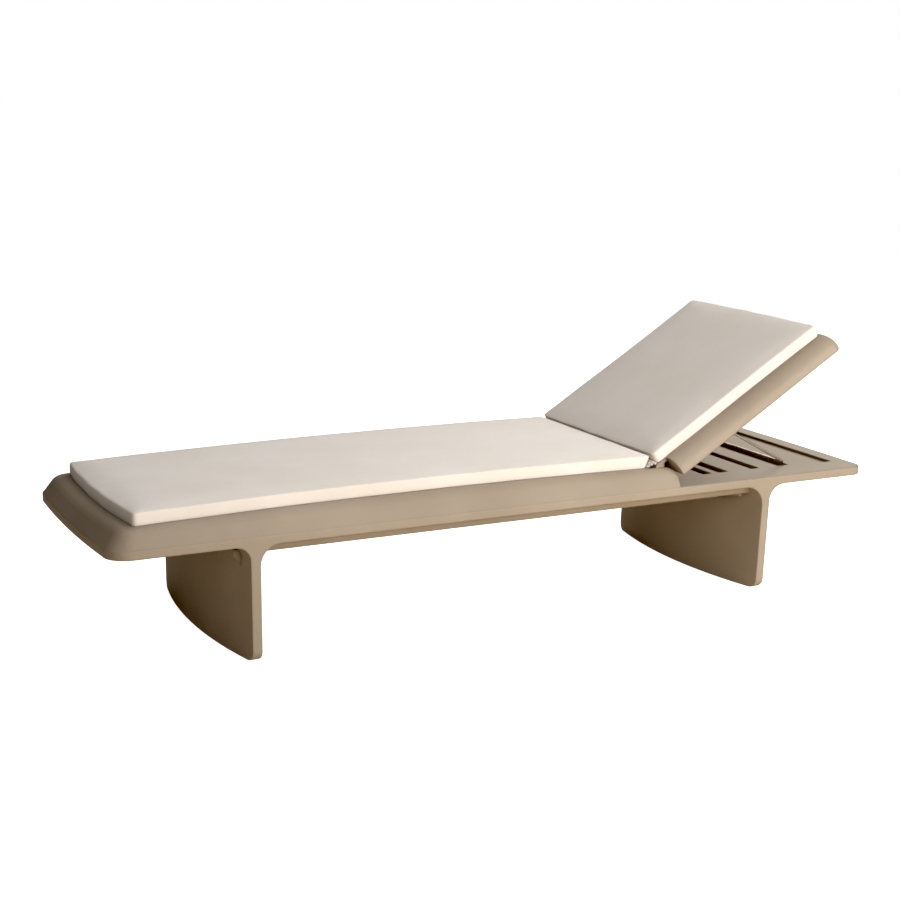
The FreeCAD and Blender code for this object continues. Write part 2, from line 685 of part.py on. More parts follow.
def back_panel():
    """Sloped back panel with its prop recess, arm slots and seats for fasteners."""
    low = -size("panel_under")
    start = size("panel_start")
    lip_half = half_width - size("seat_ledge")
    slope_height = size("panel_over") + size("panel_under") - size("panel_lip")
    sections = []
    for inwards, upwards in zip(bulge_in_shares, bulge_up_shares):
        half = lip_half - inwards * size("panel_side_run")
        tip = size("panel_end") - inwards * size("panel_end_run")
        corner = size("panel_corner") + inwards * (size("panel_top_corner") - size("panel_corner"))
        head = bowed_end(tip, size("head_bow"), half, corner, 1)
        height = low + size("panel_lip") + upwards * slope_height
        sections.append(outline(square_end(start, half), head, height))
    slope = Part.makeLoft(sections, True, False)
    lip_head = bowed_end(size("panel_end"), size("head_bow"), lip_half, size("panel_corner"), 1)
    lip = prism(outline(square_end(start, lip_half), lip_head, low), size("panel_lip"))
    panel = slope.fuse(lip).fuse(hinge_lug()).fuse(mirrored(hinge_lug())).removeSplitter()
    half = size("prop_recess_half")
    recess = box(size("prop_recess_start"), size("prop_recess_end"), -half, half,
                 low - overrun, low + size("prop_recess_depth"))
    upright = [edge for edge in recess.Edges if edge.BoundBox.ZLength > size("prop_recess_depth")]
    cuts = [recess.makeFillet(size("prop_recess_corner"), upright)]
    slot_half = size("arm_slot_width") / 2
    slot_end = size("arm_foot_start") + size("arm_foot_length") + size("arm_slot_margin")
    for side in (-1, 1):
        centre = side * size("hinge_spread")
        cuts.append(box(start - overrun, slot_end, centre - slot_half, centre + slot_half,
                        low - overrun, size("arm_height") / 2))
    for place in arm_screw_places() + clip_screw_places():
        cuts.append(hole(size("screw_radius"), size("screw_length"), place.Base))
    for place in buffer_places():
        cuts.append(hole(size("buffer_stem_radius"), size("buffer_stem_height"), place.Base))
    cuts += [placed(strip_shape(), place) for place in back_grip_places()]
    return panel.cut(cuts).removeSplitter()


FLIPPED = Rotation(ALONG, 180)


def arm_screw_places():
    """Four placements under the arm feet, heads down."""
    places = []
    under_foot = size("arm_height") / 2 - size("arm_foot_gauge")
    first = size("arm_foot_start") + size("arm_screw_margin")
    last = size("arm_foot_start") + size("arm_foot_length") - size("arm_screw_margin")
    for side in (-1, 1):
        for out, step in ((first, size("arm_screw_spread")), (last, -size("arm_screw_spread"))):
            at = Vector(out, side * size("hinge_spread") + step, under_foot)
            places.append(Placement(at, FLIPPED))
    return places


def clip_screw_places():
    """Four placements under the clip feet, heads down."""
    places = []
    under_foot = size("prop_recess_depth") - size("panel_under") - size("clip_foot_gauge")
    for side in (-1, 1):
        for step in (-size("clip_screw_spread"), size("clip_screw_spread")):
            at = Vector(size("prop_pivot_out") + step, side * size("clip_spread"), under_foot)
            places.append(Placement(at, FLIPPED))
    return places


def buffer_places():
    """Four placements on the panel's underside."""
    places = []
    for out in (size("buffer_first"), size("buffer_second")):
        for side in (-1, 1):
            at = Vector(out, side * size("buffer_spread"), -size("panel_under"))
            places.append(Placement(at, Rotation()))
    return places


# Pads: crowned foam in a fabric cover. Each form is drawn by one function with an inset.

def pad_section(place, base, inset):
    """Cross-section of a pad: flat below, rounded shoulders, crowned on top."""
    half = size("pad_half_width") + size("pad_ease") - inset
    low = base + inset
    shoulder = base + size("pad_thickness") - inset
    peak = shoulder + size("pad_crown")
    turn = size("pad_top_round") - inset
    slant = turn * (1 - math.sqrt(half_share))
    foot = Vector(place, half, low)
    side = Vector(place, half, shoulder - turn)
    bend = Vector(place, half - slant, shoulder - slant)
    brow = Vector(place, half - turn, shoulder)
    far_foot, far_side, far_bend, far_brow = [across(point) for point in (foot, side, bend, brow)]
    edges = [
        Part.LineSegment(far_foot, foot).toShape(),
        Part.LineSegment(foot, side).toShape(),
        Part.Arc(side, bend, brow).toShape(),
        Part.Arc(brow, Vector(place, 0, peak), far_brow).toShape(),
        Part.Arc(far_brow, far_bend, far_side).toShape(),
        Part.LineSegment(far_side, far_foot).toShape(),
    ]
    return Part.Face(Part.Wire(edges))


def end_window(start, end, floor, ceiling, turn):
    """Side view with rounded upper corners, drawn across the lounger, to round both ends."""
    profile = [
        line((start, floor), (start, ceiling - turn)),
        quarter((start, ceiling - turn), (start + turn, ceiling), (start + turn, ceiling - turn)),
        line((start + turn, ceiling), (end - turn, ceiling)),
        quarter((end - turn, ceiling), (end, ceiling - turn), (end - turn, ceiling - turn)),
        line((end, ceiling - turn), (end, floor)),
        line((end, floor), (start, floor)),
    ]
    return side_profile(profile, half_width)


def seat_pad_form(inset):
    """Seat pad, bent to the seat's arch and drawn smaller all round by an inset."""
    arch = seat_arch().Curve
    axis = Vector(arch.Center.x, 0, arch.Center.z)
    section = pad_section(axis.x, axis.z + arch.Radius + small_gap, inset)
    start = size("seat_pad_foot") + inset
    end = size("seat_pad_head") - inset
    first = math.degrees(math.asin((start - overrun - axis.x) / arch.Radius))
    last = math.degrees(math.asin((end + overrun - axis.x) / arch.Radius))
    section.rotate(axis, ACROSS, first)
    slab = section.revolve(axis, ACROSS, last - first)
    half = size("pad_half_width") - inset
    corner = size("pad_corner") - inset
    foot = bowed_end(start, size("seat_pad_bow"), half, corner, -1)
    head = bowed_end(end, size("pad_draw"), half, corner, 1)
    floor = size("plate_top")
    rise = size("seat_crown_height") + size("pad_thickness") + size("pad_crown")
    return slab.common(prism(outline(foot, head, floor, size("pad_draw")), rise + overrun))


def back_pad_form(inset):
    """Back pad, measured from the hinge axis, drawn smaller all round by an inset."""
    base = size("panel_over") + small_gap
    start = size("back_pad_start") + inset
    end = size("back_pad_end") - inset
    slab = pad_section(start - overrun, base, inset).extrude(ALONG * (end - start + 2 * overrun))
    half = size("pad_half_width") - inset
    corner = size("pad_corner") - inset
    foot = bowed_end(start, size("pad_draw"), half, corner, -1)
    head = bowed_end(end, size("back_pad_bow"), half, corner, 1)
    rise = size("pad_thickness") + size("pad_crown")
    ease = size("pad_ease")
    top = base + rise - inset + ease
    slab = slab.common(end_window(start - ease, end + ease, base - overrun, top, size("pad_top_round")))
    return slab.common(prism(outline(foot, head, base - overrun, size("pad_draw")), rise + 2 * overrun))


def skin(outer, inner):
    """A closed skin: an outer form with an inner form as its hollow."""
    shells = Part.makeCompound([outer.Shells[0], inner.Shells[0].reversed()])
    return Part.makeSolid(shells)


# Small parts: sketches and features in bodies of their own, sized by the sheet.

def plane_of(body, role):
    """One of a body's own origin planes."""
    for item in body.Origin.OriginFeatures:
        if item.Role == role:
            return item


def new_body(name):
    """An empty body with its own name."""
    body = doc.addObject("PartDesign::Body", name)
    body.Label = name
    return body


def new_sketch(body, role, lift="0"):
    """A sketch on one of the body's origin planes, lifted off it by an expression."""
    sketch = body.newObject("Sketcher::SketchObject", body.Name + "_sketch")
    sketch.AttachmentSupport = [(plane_of(body, role), "")]
    sketch.MapMode = "FlatFace"
    if lift != "0":
        sketch.setExpression(".AttachmentOffset.Base.z", lift)
    return sketch


def fix_point(sketch, item, position, across, upwards):
    """Tie a point of a sketch to two expressions, measured from the sketch's origin."""
    for kind, axis, expression in (("DistanceX", -2, across), ("DistanceY", -1, upwards)):
        if expression == "0":
            sketch.addConstraint(Sketcher.Constraint("PointOnObject", item, position, axis))
        else:
            value = value_of(sketch, expression)
            number = sketch.addConstraint(Sketcher.Constraint(kind, -1, 1, item, position, value))
            sketch.setExpression("Constraints[%d]" % number, expression)


def value_of(item, expression):
    """The number that an expression gives now."""
    return float(item.evalExpression(expression))


def polygon(sketch, corners):
    """A closed outline whose corners are pairs of expressions."""
    points = [Vector(value_of(sketch, x), value_of(sketch, y), 0) for x, y in corners]
    count = len(points)
    first = sketch.GeometryCount
    for index in range(count):
        sketch.addGeometry(Part.LineSegment(points[index], points[(index + 1) % count]))
    for index in range(count):
        after = first + (index + 1) % count
        sketch.addConstraint(Sketcher.Constraint("Coincident", first + index, 2, after, 1))
    for index, (x, y) in enumerate(corners):
        fix_point(sketch, first + index, 1, x, y)


def rectangle(sketch, left, right, low, high):
    """A rectangle between four expressions."""
    polygon(sketch, ((left, low), (right, low), (right, high), (left, high)))


def circle(sketch, across, upwards, radius):
    """A circle at two expressions with a radius from a third."""
    centre = Vector(value_of(sketch, across), value_of(sketch, upwards), 0)
    item = sketch.addGeometry(Part.Circle(centre, UP, value_of(sketch, radius)))
    fix_point(sketch, item, 3, across, upwards)
    number = sketch.addConstraint(Sketcher.Constraint("Radius", item, value_of(sketch, radius)))
    sketch.setExpression("Constraints[%d]" % number, radius)


def pad(body, sketch, length, middle=False):
    """Material from a sketch; both ways from its plane when middle is set."""
    item = body.newObject("PartDesign::Pad", body.Name + "_pad")
    item.Profile = sketch
    item.setExpression("Length", length)
    item.Midplane = middle
    doc.recompute()
    return item


def pocket(body, sketch, length):
    """A cut both ways from a sketch's plane."""
    item = body.newObject("PartDesign::Pocket", body.Name + "_pocket")
    item.Profile = sketch
    item.setExpression("Length", length)
    item.Midplane = True
    doc.recompute()
    return item


def turned(name, corners):
    """A turned piece: an outline of radius and height pairs, revolved about +Z."""
    body = new_body(name)
    sketch = new_sketch(body, "XZ_Plane")
    polygon(sketch, corners)
    item = body.newObject("PartDesign::Revolution", name + "_turn")
    item.Profile = sketch
    item.ReferenceAxis = (sketch, ["V_Axis"])
    item.Angle = 360
    doc.recompute()
    return body


def repeated(name, master, places, placement=Placement()):
    """One node that holds the same piece at several placements."""
    copies = []
    for index, place in enumerate(places):
        copy = doc.addObject("App::Link", "%s_%d" % (name, index + 1))
        copy.LinkedObject = master
        copy.Placement = place
        copies.append(copy)
    group = doc.addObject("Part::Compound", name)
    group.Label = name
    group.Links = copies
    group.Placement = placement
    doc.recompute()
    return group


def bracket_body(name, side):
    """Folded steel hinge bracket: a screwed foot with two ears around the pin."""
    body = new_body(name)
    fall = "sizes.hinge_height - sizes.plate_top - sizes.pocket_floor"
    foot = new_sketch(body, "XY_Plane", "-(%s)" % fall)
    rectangle(foot, "-sizes.bracket_back", "sizes.bracket_length - sizes.bracket_back",
              "-sizes.bracket_width / 2", "sizes.bracket_width / 2")
    pad(body, foot, "sizes.bracket_gauge")
    ear_width = "sizes.bracket_gap + 2 * sizes.bracket_gauge"
    web = new_sketch(body, "XZ_Plane")
    rectangle(web, "-sizes.bracket_ear_radius", "sizes.bracket_ear_radius", "-(%s)" % fall, "0")
    pad(body, web, ear_width, True)
    crest = new_sketch(body, "XZ_Plane")
    circle(crest, "0", "0", "sizes.bracket_ear_radius")
    pad(body, crest, ear_width, True)
    gap = new_sketch(body, "XZ_Plane")
    rectangle(gap, "-sizes.bracket_back", "sizes.bracket_back", "sizes.bracket_gauge - (%s)" % fall,
              "sizes.bracket_ear_radius + sizes.overrun")
    pocket(body, gap, "sizes.bracket_gap")
    bore = new_sketch(body, "XZ_Plane")
    circle(bore, "0", "0", "sizes.hinge_pin_radius")
    pocket(body, bore, "sizes.bracket_width")
    holes = new_sketch(body, "XY_Plane", "-(%s)" % fall)
    circle(holes, "0", "sizes.bracket_screw_spread", "sizes.screw_radius + sizes.running_gap")
    circle(holes, "0", "-sizes.bracket_screw_spread", "sizes.screw_radius + sizes.running_gap")
    pocket(body, holes, "4 * sizes.bracket_gauge")
    body.Placement = Placement(hinge_axis + ACROSS * (side * size("hinge_spread")), Rotation())
    return body


def arm_body(name, side):
    """Forged hinge arm: an eye, a bar and a foot that is screwed under the panel."""
    body = new_body(name)
    eye = new_sketch(body, "XZ_Plane")
    circle(eye, "0", "0", "sizes.arm_eye_radius")
    pad(body, eye, "sizes.arm_thickness", True)
    bar = new_sketch(body, "XZ_Plane")
    foot_end = "sizes.arm_foot_start + sizes.arm_foot_length"
    rectangle(bar, "0", foot_end, "-sizes.arm_height / 2", "sizes.arm_height / 2")
    pad(body, bar, "sizes.arm_thickness", True)
    foot = new_sketch(body, "XY_Plane", "sizes.arm_height / 2 - sizes.arm_foot_gauge")
    rectangle(foot, "sizes.arm_foot_start", foot_end, "-sizes.arm_foot_width / 2", "sizes.arm_foot_width / 2")
    pad(body, foot, "sizes.arm_foot_gauge")
    bore = new_sketch(body, "XZ_Plane")
    circle(bore, "0", "0", "sizes.arm_bush_radius")
    pocket(body, bore, "sizes.arm_foot_width")
    holes = new_sketch(body, "XY_Plane", "sizes.arm_height / 2")
    first = "sizes.arm_foot_start + sizes.arm_screw_margin"
    circle(holes, first, "sizes.arm_screw_spread", "sizes.screw_radius + sizes.running_gap")
    circle(holes, foot_end + " - sizes.arm_screw_margin", "-sizes.arm_screw_spread",
           "sizes.screw_radius + sizes.running_gap")
    pocket(body, holes, "4 * sizes.arm_foot_gauge")
    body.Placement = raised.multiply(Placement(ACROSS * (side * size("hinge_spread")), Rotation()))
    return body


def clip_body(name):
    """Plastic clip that carries one end of the wire: an eye, a web and a screwed foot."""
    body = new_body(name)
    rise = "sizes.prop_recess_depth - sizes.panel_under + sizes.prop_pivot_down"
    eye = new_sketch(body, "XZ_Plane")
    circle(eye, "0", "0", "sizes.clip_radius")
    pad(body, eye, "sizes.clip_width", True)
    web = new_sketch(body, "XZ_Plane")
    rectangle(web, "-sizes.clip_radius", "sizes.clip_radius", "0", rise)
    pad(body, web, "sizes.clip_width", True)
    foot = new_sketch(body, "XZ_Plane")
    rectangle(foot, "-sizes.clip_foot_length / 2", "sizes.clip_foot_length / 2",
              "%s - sizes.clip_foot_gauge" % rise, rise)
    pad(body, foot, "sizes.clip_width", True)
    bore = new_sketch(body, "XZ_Plane")
    circle(bore, "0", "0", "sizes.prop_bush_radius")
    pocket(body, bore, "2 * sizes.clip_width")
    holes = new_sketch(body, "XY_Plane", rise)
    circle(holes, "sizes.clip_screw_spread", "0", "sizes.screw_radius + sizes.running_gap")
    circle(holes, "-sizes.clip_screw_spread", "0", "sizes.screw_radius + sizes.running_gap")
    pocket(body, holes, "4 * sizes.clip_foot_gauge")
    return body


def screw_body(name):
    """Screw: shank down, head up, origin under the head."""
    return turned(name, (
        ("0", "-sizes.screw_length"),
        ("sizes.screw_radius", "-sizes.screw_length"),
        ("sizes.screw_radius", "0"),
        ("sizes.screw_head_radius", "0"),
        ("sizes.screw_head_radius", "sizes.screw_head_height"),
        ("0", "sizes.screw_head_height"),
    ))


def bush_body(name, bore, outer, width, overhang):
    """Plain plastic bush, centred on its origin."""
    half = "(%s) / 2 + %s" % (width, overhang)
    return turned(name, ((bore, "-(%s)" % half), (outer, "-(%s)" % half), (outer, half), (bore, half)))


def pin_body(name):
    """Hinge pin along +Z, centred on its origin, with a head and a riveted end."""
    half = "sizes.bracket_gap / 2 + sizes.bracket_gauge"
    end = half + " + sizes.hinge_pin_head_height"
    return turned(name, (
        ("0", "-(%s)" % end),
        ("sizes.hinge_pin_head", "-(%s)" % end),
        ("sizes.hinge_pin_head", "-(%s)" % half),
        ("sizes.hinge_pin_radius", "-(%s)" % half),
        ("sizes.hinge_pin_radius", half),
        ("sizes.hinge_pin_head", half),
        ("sizes.hinge_pin_head", end),
        ("0", end),
    ))


def buffer_body(name):
    """Rubber buffer: a disc below its origin and a stem above."""
    return turned(name, (
        ("0", "-sizes.buffer_height"),
        ("sizes.buffer_radius", "-sizes.buffer_height"),
        ("sizes.buffer_radius", "0"),
        ("sizes.buffer_stem_radius", "0"),
        ("sizes.buffer_stem_radius", "sizes.buffer_stem_height"),
        ("0", "sizes.buffer_stem_height"),
    ))


def strip_body(name, width, length, low, height):
    """A flat strip centred on its origin."""
    body = new_body(name)
    sketch = new_sketch(body, "XY_Plane", low)
    rectangle(sketch, "-%s / 2" % width, "%s / 2" % width, "-%s / 2" % length, "%s / 2" % length)
    pad(body, sketch, height)
    return body


def prop_body(name):
    """Bent wire prop: two legs, a foot bar and turned-out ends, drawn from its pivot line."""
    body = new_body(name)
    reach = math.hypot(prop_foot.x - prop_pivot.x, prop_foot.z - prop_pivot.z)
    half = size("wire_half_width")
    tip = half + size("wire_stub")
    bend = size("wire_bend")
    corners = [Vector(0, -tip, 0), Vector(0, -half, 0), Vector(reach, -half, 0),
               Vector(reach, half, 0), Vector(0, half, 0), Vector(0, tip, 0)]
    path = new_sketch(body, "XY_Plane")
    lines = []
    for index in range(len(corners) - 1):
        run = (corners[index + 1] - corners[index]).normalize() * bend
        start = corners[index] + (run if index else ORIGIN)
        end = corners[index + 1] - (run if index < len(corners) - 2 else ORIGIN)
        lines.append((start, end))
    for index, (start, end) in enumerate(lines):
        path.addGeometry(Part.LineSegment(start, end))
        if index < len(lines) - 1:
            corner = corners[index + 1]
            after = lines[index + 1][0]
            centre = end + after - corner
            inward = (corner - centre).normalize() * bend
            path.addGeometry(Part.Arc(end, centre + inward, after))
    section = new_sketch(body, "XZ_Plane", "sizes.wire_half_width + sizes.wire_stub")
    circle(section, "0", "0", "sizes.wire_radius")
    item = body.newObject("PartDesign::AdditivePipe", name + "_pipe")
    item.Profile = section
    item.Spine = path
    doc.recompute()
    body.Placement = Placement(prop_pivot, Rotation(ACROSS, math.degrees(math.atan2(
        prop_pivot.z - prop_foot.z, prop_foot.x - prop_pivot.x))))
    return body


prop_pivot = raised.multVec(Vector(size("prop_pivot_out"), 0, -size("prop_pivot_down")))
prop_foot_height = size("plate_top") + size("wire_radius") + size("prop_foot_lift")
prop_foot = Vector(size("prop_foot_place"), 0, prop_foot_height)

nodes = [
    feature("lounger_body", lounger_body()),
    feature("backrest_panel", back_panel(), raised),
]

nodes.append(feature("seat_cover", skin(seat_pad_form(0), seat_pad_form(size("cover_gauge")))))
nodes.append(feature("seat_foam", seat_pad_form(size("cover_gauge") + size("foam_gap"))))
nodes.append(feature("back_cover", skin(back_pad_form(0), back_pad_form(size("cover_gauge"))), raised))
nodes.append(feature("back_foam", back_pad_form(size("cover_gauge") + size("foam_gap")), raised))

nodes.append(bracket_body("hinge_bracket_near", -1))
nodes.append(bracket_body("hinge_bracket_far", 1))
nodes.append(arm_body("hinge_arm_near", -1))
nodes.append(arm_body("hinge_arm_far", 1))
nodes.append(prop_body("prop_wire"))

screw = screw_body("screw_master")
nodes.append(repeated("bracket_screws", screw, bracket_screw_places()))
nodes.append(repeated("arm_screws", screw, arm_screw_places(), raised))
nodes.append(repeated("clip_screws", screw, clip_screw_places(), raised))

ALONG_PIN = Rotation(ALONG, -90)
hinges = [Placement(ACROSS * (side * size("hinge_spread")), ALONG_PIN) for side in (-1, 1)]
on_axis = Placement(hinge_axis, Rotation())
arm_bush = bush_body("arm_bush_master", "sizes.hinge_pin_radius + sizes.running_gap", "sizes.arm_bush_radius",
                     "sizes.arm_thickness", "sizes.arm_bush_overhang")
nodes.append(repeated("hinge_bushes", arm_bush, hinges, raised))
nodes.append(repeated("hinge_pins", pin_body("pin_master"), hinges, on_axis))

clip_places = [Placement(Vector(size("prop_pivot_out"), side * size("clip_spread"), -size("prop_pivot_down")),
                         Rotation()) for side in (-1, 1)]
bush_places = [Placement(place.Base, ALONG_PIN) for place in clip_places]
prop_bush = bush_body("prop_bush_master", "sizes.wire_radius + sizes.running_gap", "sizes.prop_bush_radius",
                      "sizes.clip_width", "sizes.prop_bush_overhang")
nodes.append(repeated("prop_clips", clip_body("clip_master"), clip_places, raised))
nodes.append(repeated("prop_bushes", prop_bush, bush_places, raised))

nodes.append(repeated("panel_buffers", buffer_body("buffer_master"), buffer_places(), raised))
strip = strip_body("strip_master", "sizes.grip_width", "sizes.grip_length",
                   "-sizes.grip_gauge", "sizes.grip_gauge")
nodes.append(repeated("seat_grip_pads", strip, seat_grip_places()))
nodes.append(repeated("back_grip_pads", strip, back_grip_places(), raised))
glide = strip_body("glide_master", "sizes.glide_width", "sizes.glide_length", "0", "sizes.glide_height")
nodes.append(repeated("leg_glides", glide, glide_places()))

doc.recompute()
for item in doc.Objects:
    if "Invalid" in item.State or "Error" in item.State:
        raise RuntimeError("%s failed: %s" % (item.Name, item.State))
for node in nodes:
    if node.Shape.isNull() or not node.Shape.isValid():
        raise RuntimeError("%s has no valid shape" % node.Label)

os.makedirs("parts", exist_ok=True)
for node in nodes:
    node.Shape.exportStep("parts/%s.step" % node.Label)
    print(node.Label, len(node.Shape.Solids), round(node.Shape.Volume))
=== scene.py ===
# %% [markdown]
# # Dressing a relaxation lounger
#
# The lounger is one pale taupe moulding on two bowed blade legs, with a hinged back panel, a bent
# wire prop and two thin pads. The imported frame already holds every rigid piece at its true size, so
# this lesson only adds what a frame can't carry: the fabric pads, their seams and the finish of
# every surface. The whole script works in metres, in the frame's own axes.

# %% Load the frame and keep its pieces in place
import math

import bpy
import numpy as np
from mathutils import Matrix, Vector
from mathutils.bvhtree import BVHTree


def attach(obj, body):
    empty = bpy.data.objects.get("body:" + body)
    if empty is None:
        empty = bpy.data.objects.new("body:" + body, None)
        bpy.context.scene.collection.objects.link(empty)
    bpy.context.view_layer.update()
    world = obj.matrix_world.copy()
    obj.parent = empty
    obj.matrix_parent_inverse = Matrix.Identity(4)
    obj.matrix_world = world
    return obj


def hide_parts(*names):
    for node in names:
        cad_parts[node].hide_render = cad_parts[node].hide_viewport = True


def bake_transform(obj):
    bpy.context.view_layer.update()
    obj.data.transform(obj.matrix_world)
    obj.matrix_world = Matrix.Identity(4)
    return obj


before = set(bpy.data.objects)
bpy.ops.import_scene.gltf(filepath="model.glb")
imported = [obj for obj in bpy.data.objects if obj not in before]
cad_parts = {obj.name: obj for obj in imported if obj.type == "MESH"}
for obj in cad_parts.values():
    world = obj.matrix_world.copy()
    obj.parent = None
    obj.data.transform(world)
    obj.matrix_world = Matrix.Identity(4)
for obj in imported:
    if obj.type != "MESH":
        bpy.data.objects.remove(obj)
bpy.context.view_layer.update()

# %% [markdown]
# ## Shader sums
#
# A finish is easier to read as a sum than as a web of nodes. A small class wraps a shader socket
# and gives it the ordinary operators, so `0.5 + grain * 0.1` adds the Math nodes by itself. A
# second class holds one material and makes any other node from its type, settings and inputs.


# %% A shader value that can be used in ordinary sums
class Reading:
    """A shader socket that adds, scales and compares like a number."""

    def __init__(self, finish, socket):
        self.finish = finish
        self.socket = socket

    def sum(self, operation, *values):
        return self.finish.node("ShaderNodeMath", {"operation": operation}, dict(enumerate(values)))

    def __add__(self, other):
        return self.sum("ADD", self, other)

    def __rsub__(self, other):
        return self.sum("SUBTRACT", other, self)

    def __mul__(self, other):
        return self.sum("MULTIPLY", self, other)

    __radd__ = __add__
    __rmul__ = __mul__

    def __abs__(self):
        return self.sum("ABSOLUTE", self)

    def sine(self):
        return self.sum("SINE", self)

    def between(self, low, high):
        """0 below low, 1 above high, and an even slope between them."""
        ends = {"From Min": low, "From Max": high, "Value": self}
        return self.finish.node("ShaderNodeMapRange", {"clamp": True}, ends)


# %% A finish: one material and the nodes that feed its shader
class Finish:
    """A procedural material, built a node at a time."""

    def __init__(self, name, constants):
        self.material = bpy.data.materials.new(name)
        self.material.use_nodes = True
        self.tree = self.material.node_tree
        self.shader = self.tree.nodes["Principled BSDF"]
        for socket, value in constants.items():
            self.shader.inputs[socket].default_value = value

    def node(self, kind, settings=None, values=None, output=0):
        made = self.tree.nodes.new(kind)
        for name, value in (settings or {}).items():
            setattr(made, name, value)
        for name, value in (values or {}).items():
            self.feed(made.inputs[name], value)
        return Reading(self, made.outputs[output])

    def feed(self, socket, value):
        if isinstance(value, Reading):
            self.tree.links.new(value.socket, socket)
        else:
            socket.default_value = value

    def place(self, turn=0.0):
        """Object coordinates, turned about the axis across the lounger."""
        seen = self.node("ShaderNodeTexCoord", output="Object")
        if not turn:
            return seen
        return self.node("ShaderNodeMapping", values={"Vector": seen, "Rotation": (0.0, turn, 0.0)})

    def stretched(self, place, scale):
        return self.node("ShaderNodeMapping", values={"Vector": place, "Scale": scale})

    def noise(self, place, scale, detail=2.0, roughness=0.5):
        sizes = {"Vector": place, "Scale": scale, "Detail": detail, "Roughness": roughness}
        return self.node("ShaderNodeTexNoise", values=sizes)

    def parts(self, vector):
        """The three components of a vector, as values."""
        split = self.node("ShaderNodeSeparateXYZ", values={"Vector": vector})
        outputs = split.socket.node.outputs
        return [Reading(self, outputs[axis]) for axis in ("X", "Y", "Z")]

    def blend(self, share, first, second):
        """A colour between two colours."""
        made = self.tree.nodes.new("ShaderNodeMix")
        made.data_type = "RGBA"
        self.feed(made.inputs["Factor"], share)
        for socket, value in (("A", first), ("B", second)):
            slot = [item for item in made.inputs if item.name == socket and item.type == "RGBA"][0]
            self.feed(slot, value)
        output = [item for item in made.outputs if item.type == "RGBA"][0]
        return Reading(self, output)

    def relief(self, height, depth, strength=1.0, under=None):
        """A bump normal from a height between 0 and 1 and its real depth in metres."""
        values = {"Height": height, "Distance": depth, "Strength": strength}
        if under:
            values["Normal"] = under
        return self.node("ShaderNodeBump", values=values)

    def shade(self, **sources):
        for socket, value in sources.items():
            self.feed(self.shader.inputs[socket.replace("_", " ")], value)
        return self.material


def colour(red, green, blue):
    """A paint-chart colour of 0 to 255 a channel, as the shader's linear colour."""
    chart = np.array((red, green, blue)) / 255
    linear = np.where(chart <= 0.04045, chart / 12.92, ((chart + 0.055) / 1.055) ** 2.4)
    return (*linear.tolist(), 1.0)


print("shader sums ready")

# %% [markdown]
# ## The moulding's finish
#
# The body and the back panel are moulded plastic, coloured right through: a satin taupe with the
# fine grain of a blasted mould, very slightly uneven in tone and gloss. The grain is a fine noise
# as relief; a broad, faint noise keeps the large faces from looking drawn with a ruler. Moulded
# edges are never knife-sharp, so the shader's rounded-edge normal lies under the grain. Slots and
# recesses get painted shade: an occlusion node that reads only its own piece finds them, whatever
# the pose, and the colour there is darkened towards a deep brown.

# %% Moulded taupe
# How far into slots and recesses the painted shade reaches.
PAINTED_SHADE_REACH = 0.022
EDGE_SOFTNESS = 0.006
SATIN = {"IOR": 1.49, "Specular IOR Level": 0.32}
TAUPE = colour(159, 145, 127)
TAUPE_DEEP = colour(148, 134, 116)
# The deep colour painted into slots and recesses as shade.
TAUPE_PAINTED_SHADE = colour(104, 87, 64)


def moulded_finish(name, edge):
    finish = Finish(name, SATIN)
    place = finish.place()
    cloud = finish.noise(place, 3.5, 3.0)
    grain = finish.noise(place, 1500.0, 1.0)
    ripple = finish.noise(place, 34.0, 2.0)
    rounded = finish.node("ShaderNodeBevel", {"samples": 6}, {"Radius": edge})
    waves = finish.relief(ripple, 0.0006, 0.35, rounded)
    open_face = finish.blend(cloud.between(0.3, 0.7), TAUPE_DEEP, TAUPE)
    own_piece = {"only_local": True, "samples": 8}
    # Painted shade: where this piece's own occlusion finds a slot or recess, the colour darkens to
    # the deep tone.
    painted_shade = finish.node("ShaderNodeAmbientOcclusion", own_piece, {"Distance": PAINTED_SHADE_REACH}, output="AO")
    return finish.shade(
        Base_Color=finish.blend(painted_shade.between(0.45, 0.9), TAUPE_PAINTED_SHADE, open_face),
        Roughness=0.47 + cloud * 0.08 + grain * 0.06,
        Normal=finish.relief(grain, 0.00012, 0.5, waves),
    )


moulding = moulded_finish("moulded_taupe", EDGE_SOFTNESS)
print("moulding finish:", moulding.name)

# %% [markdown]
# ## The hardware's finishes
#
# Under the panel sit folded steel brackets, arms, pins and screws, plastic bushes and clips, rubber
# buffers and glides, and the bent wire prop. Steel gets a faint drawn streak and uneven gloss;
# plastics get a fine mould grain; rubber is dull and a little dusty; hook tape is a field of
# stubble. All are procedural, so they hold at any size.


# %% Steel, plastic, rubber and hook tape
def metal_finish(name, tone, dull, gloss, streak):
    finish = Finish(name, {"Metallic": 1.0})
    place = finish.place()
    drawn = finish.noise(finish.stretched(place, streak), 1.0, 3.0)
    patch = finish.noise(place, 45.0, 3.0)
    return finish.shade(
        Base_Color=finish.blend(patch.between(0.35, 0.75), tone, dull),
        Roughness=gloss + patch * 0.14 + drawn * 0.06,
        Normal=finish.relief(drawn, 0.00004, 0.4),
    )


def dull_finish(name, tone, worn, rough, grain_size, depth):
    finish = Finish(name, {"Specular IOR Level": 0.35})
    place = finish.place()
    dust = finish.noise(place, 30.0, 4.0)
    grain = finish.noise(place, grain_size, 2.0)
    return finish.shade(
        Base_Color=finish.blend(dust.between(0.45, 0.8), tone, worn),
        Roughness=rough + dust * 0.1,
        Normal=finish.relief(grain, depth, 0.6),
    )


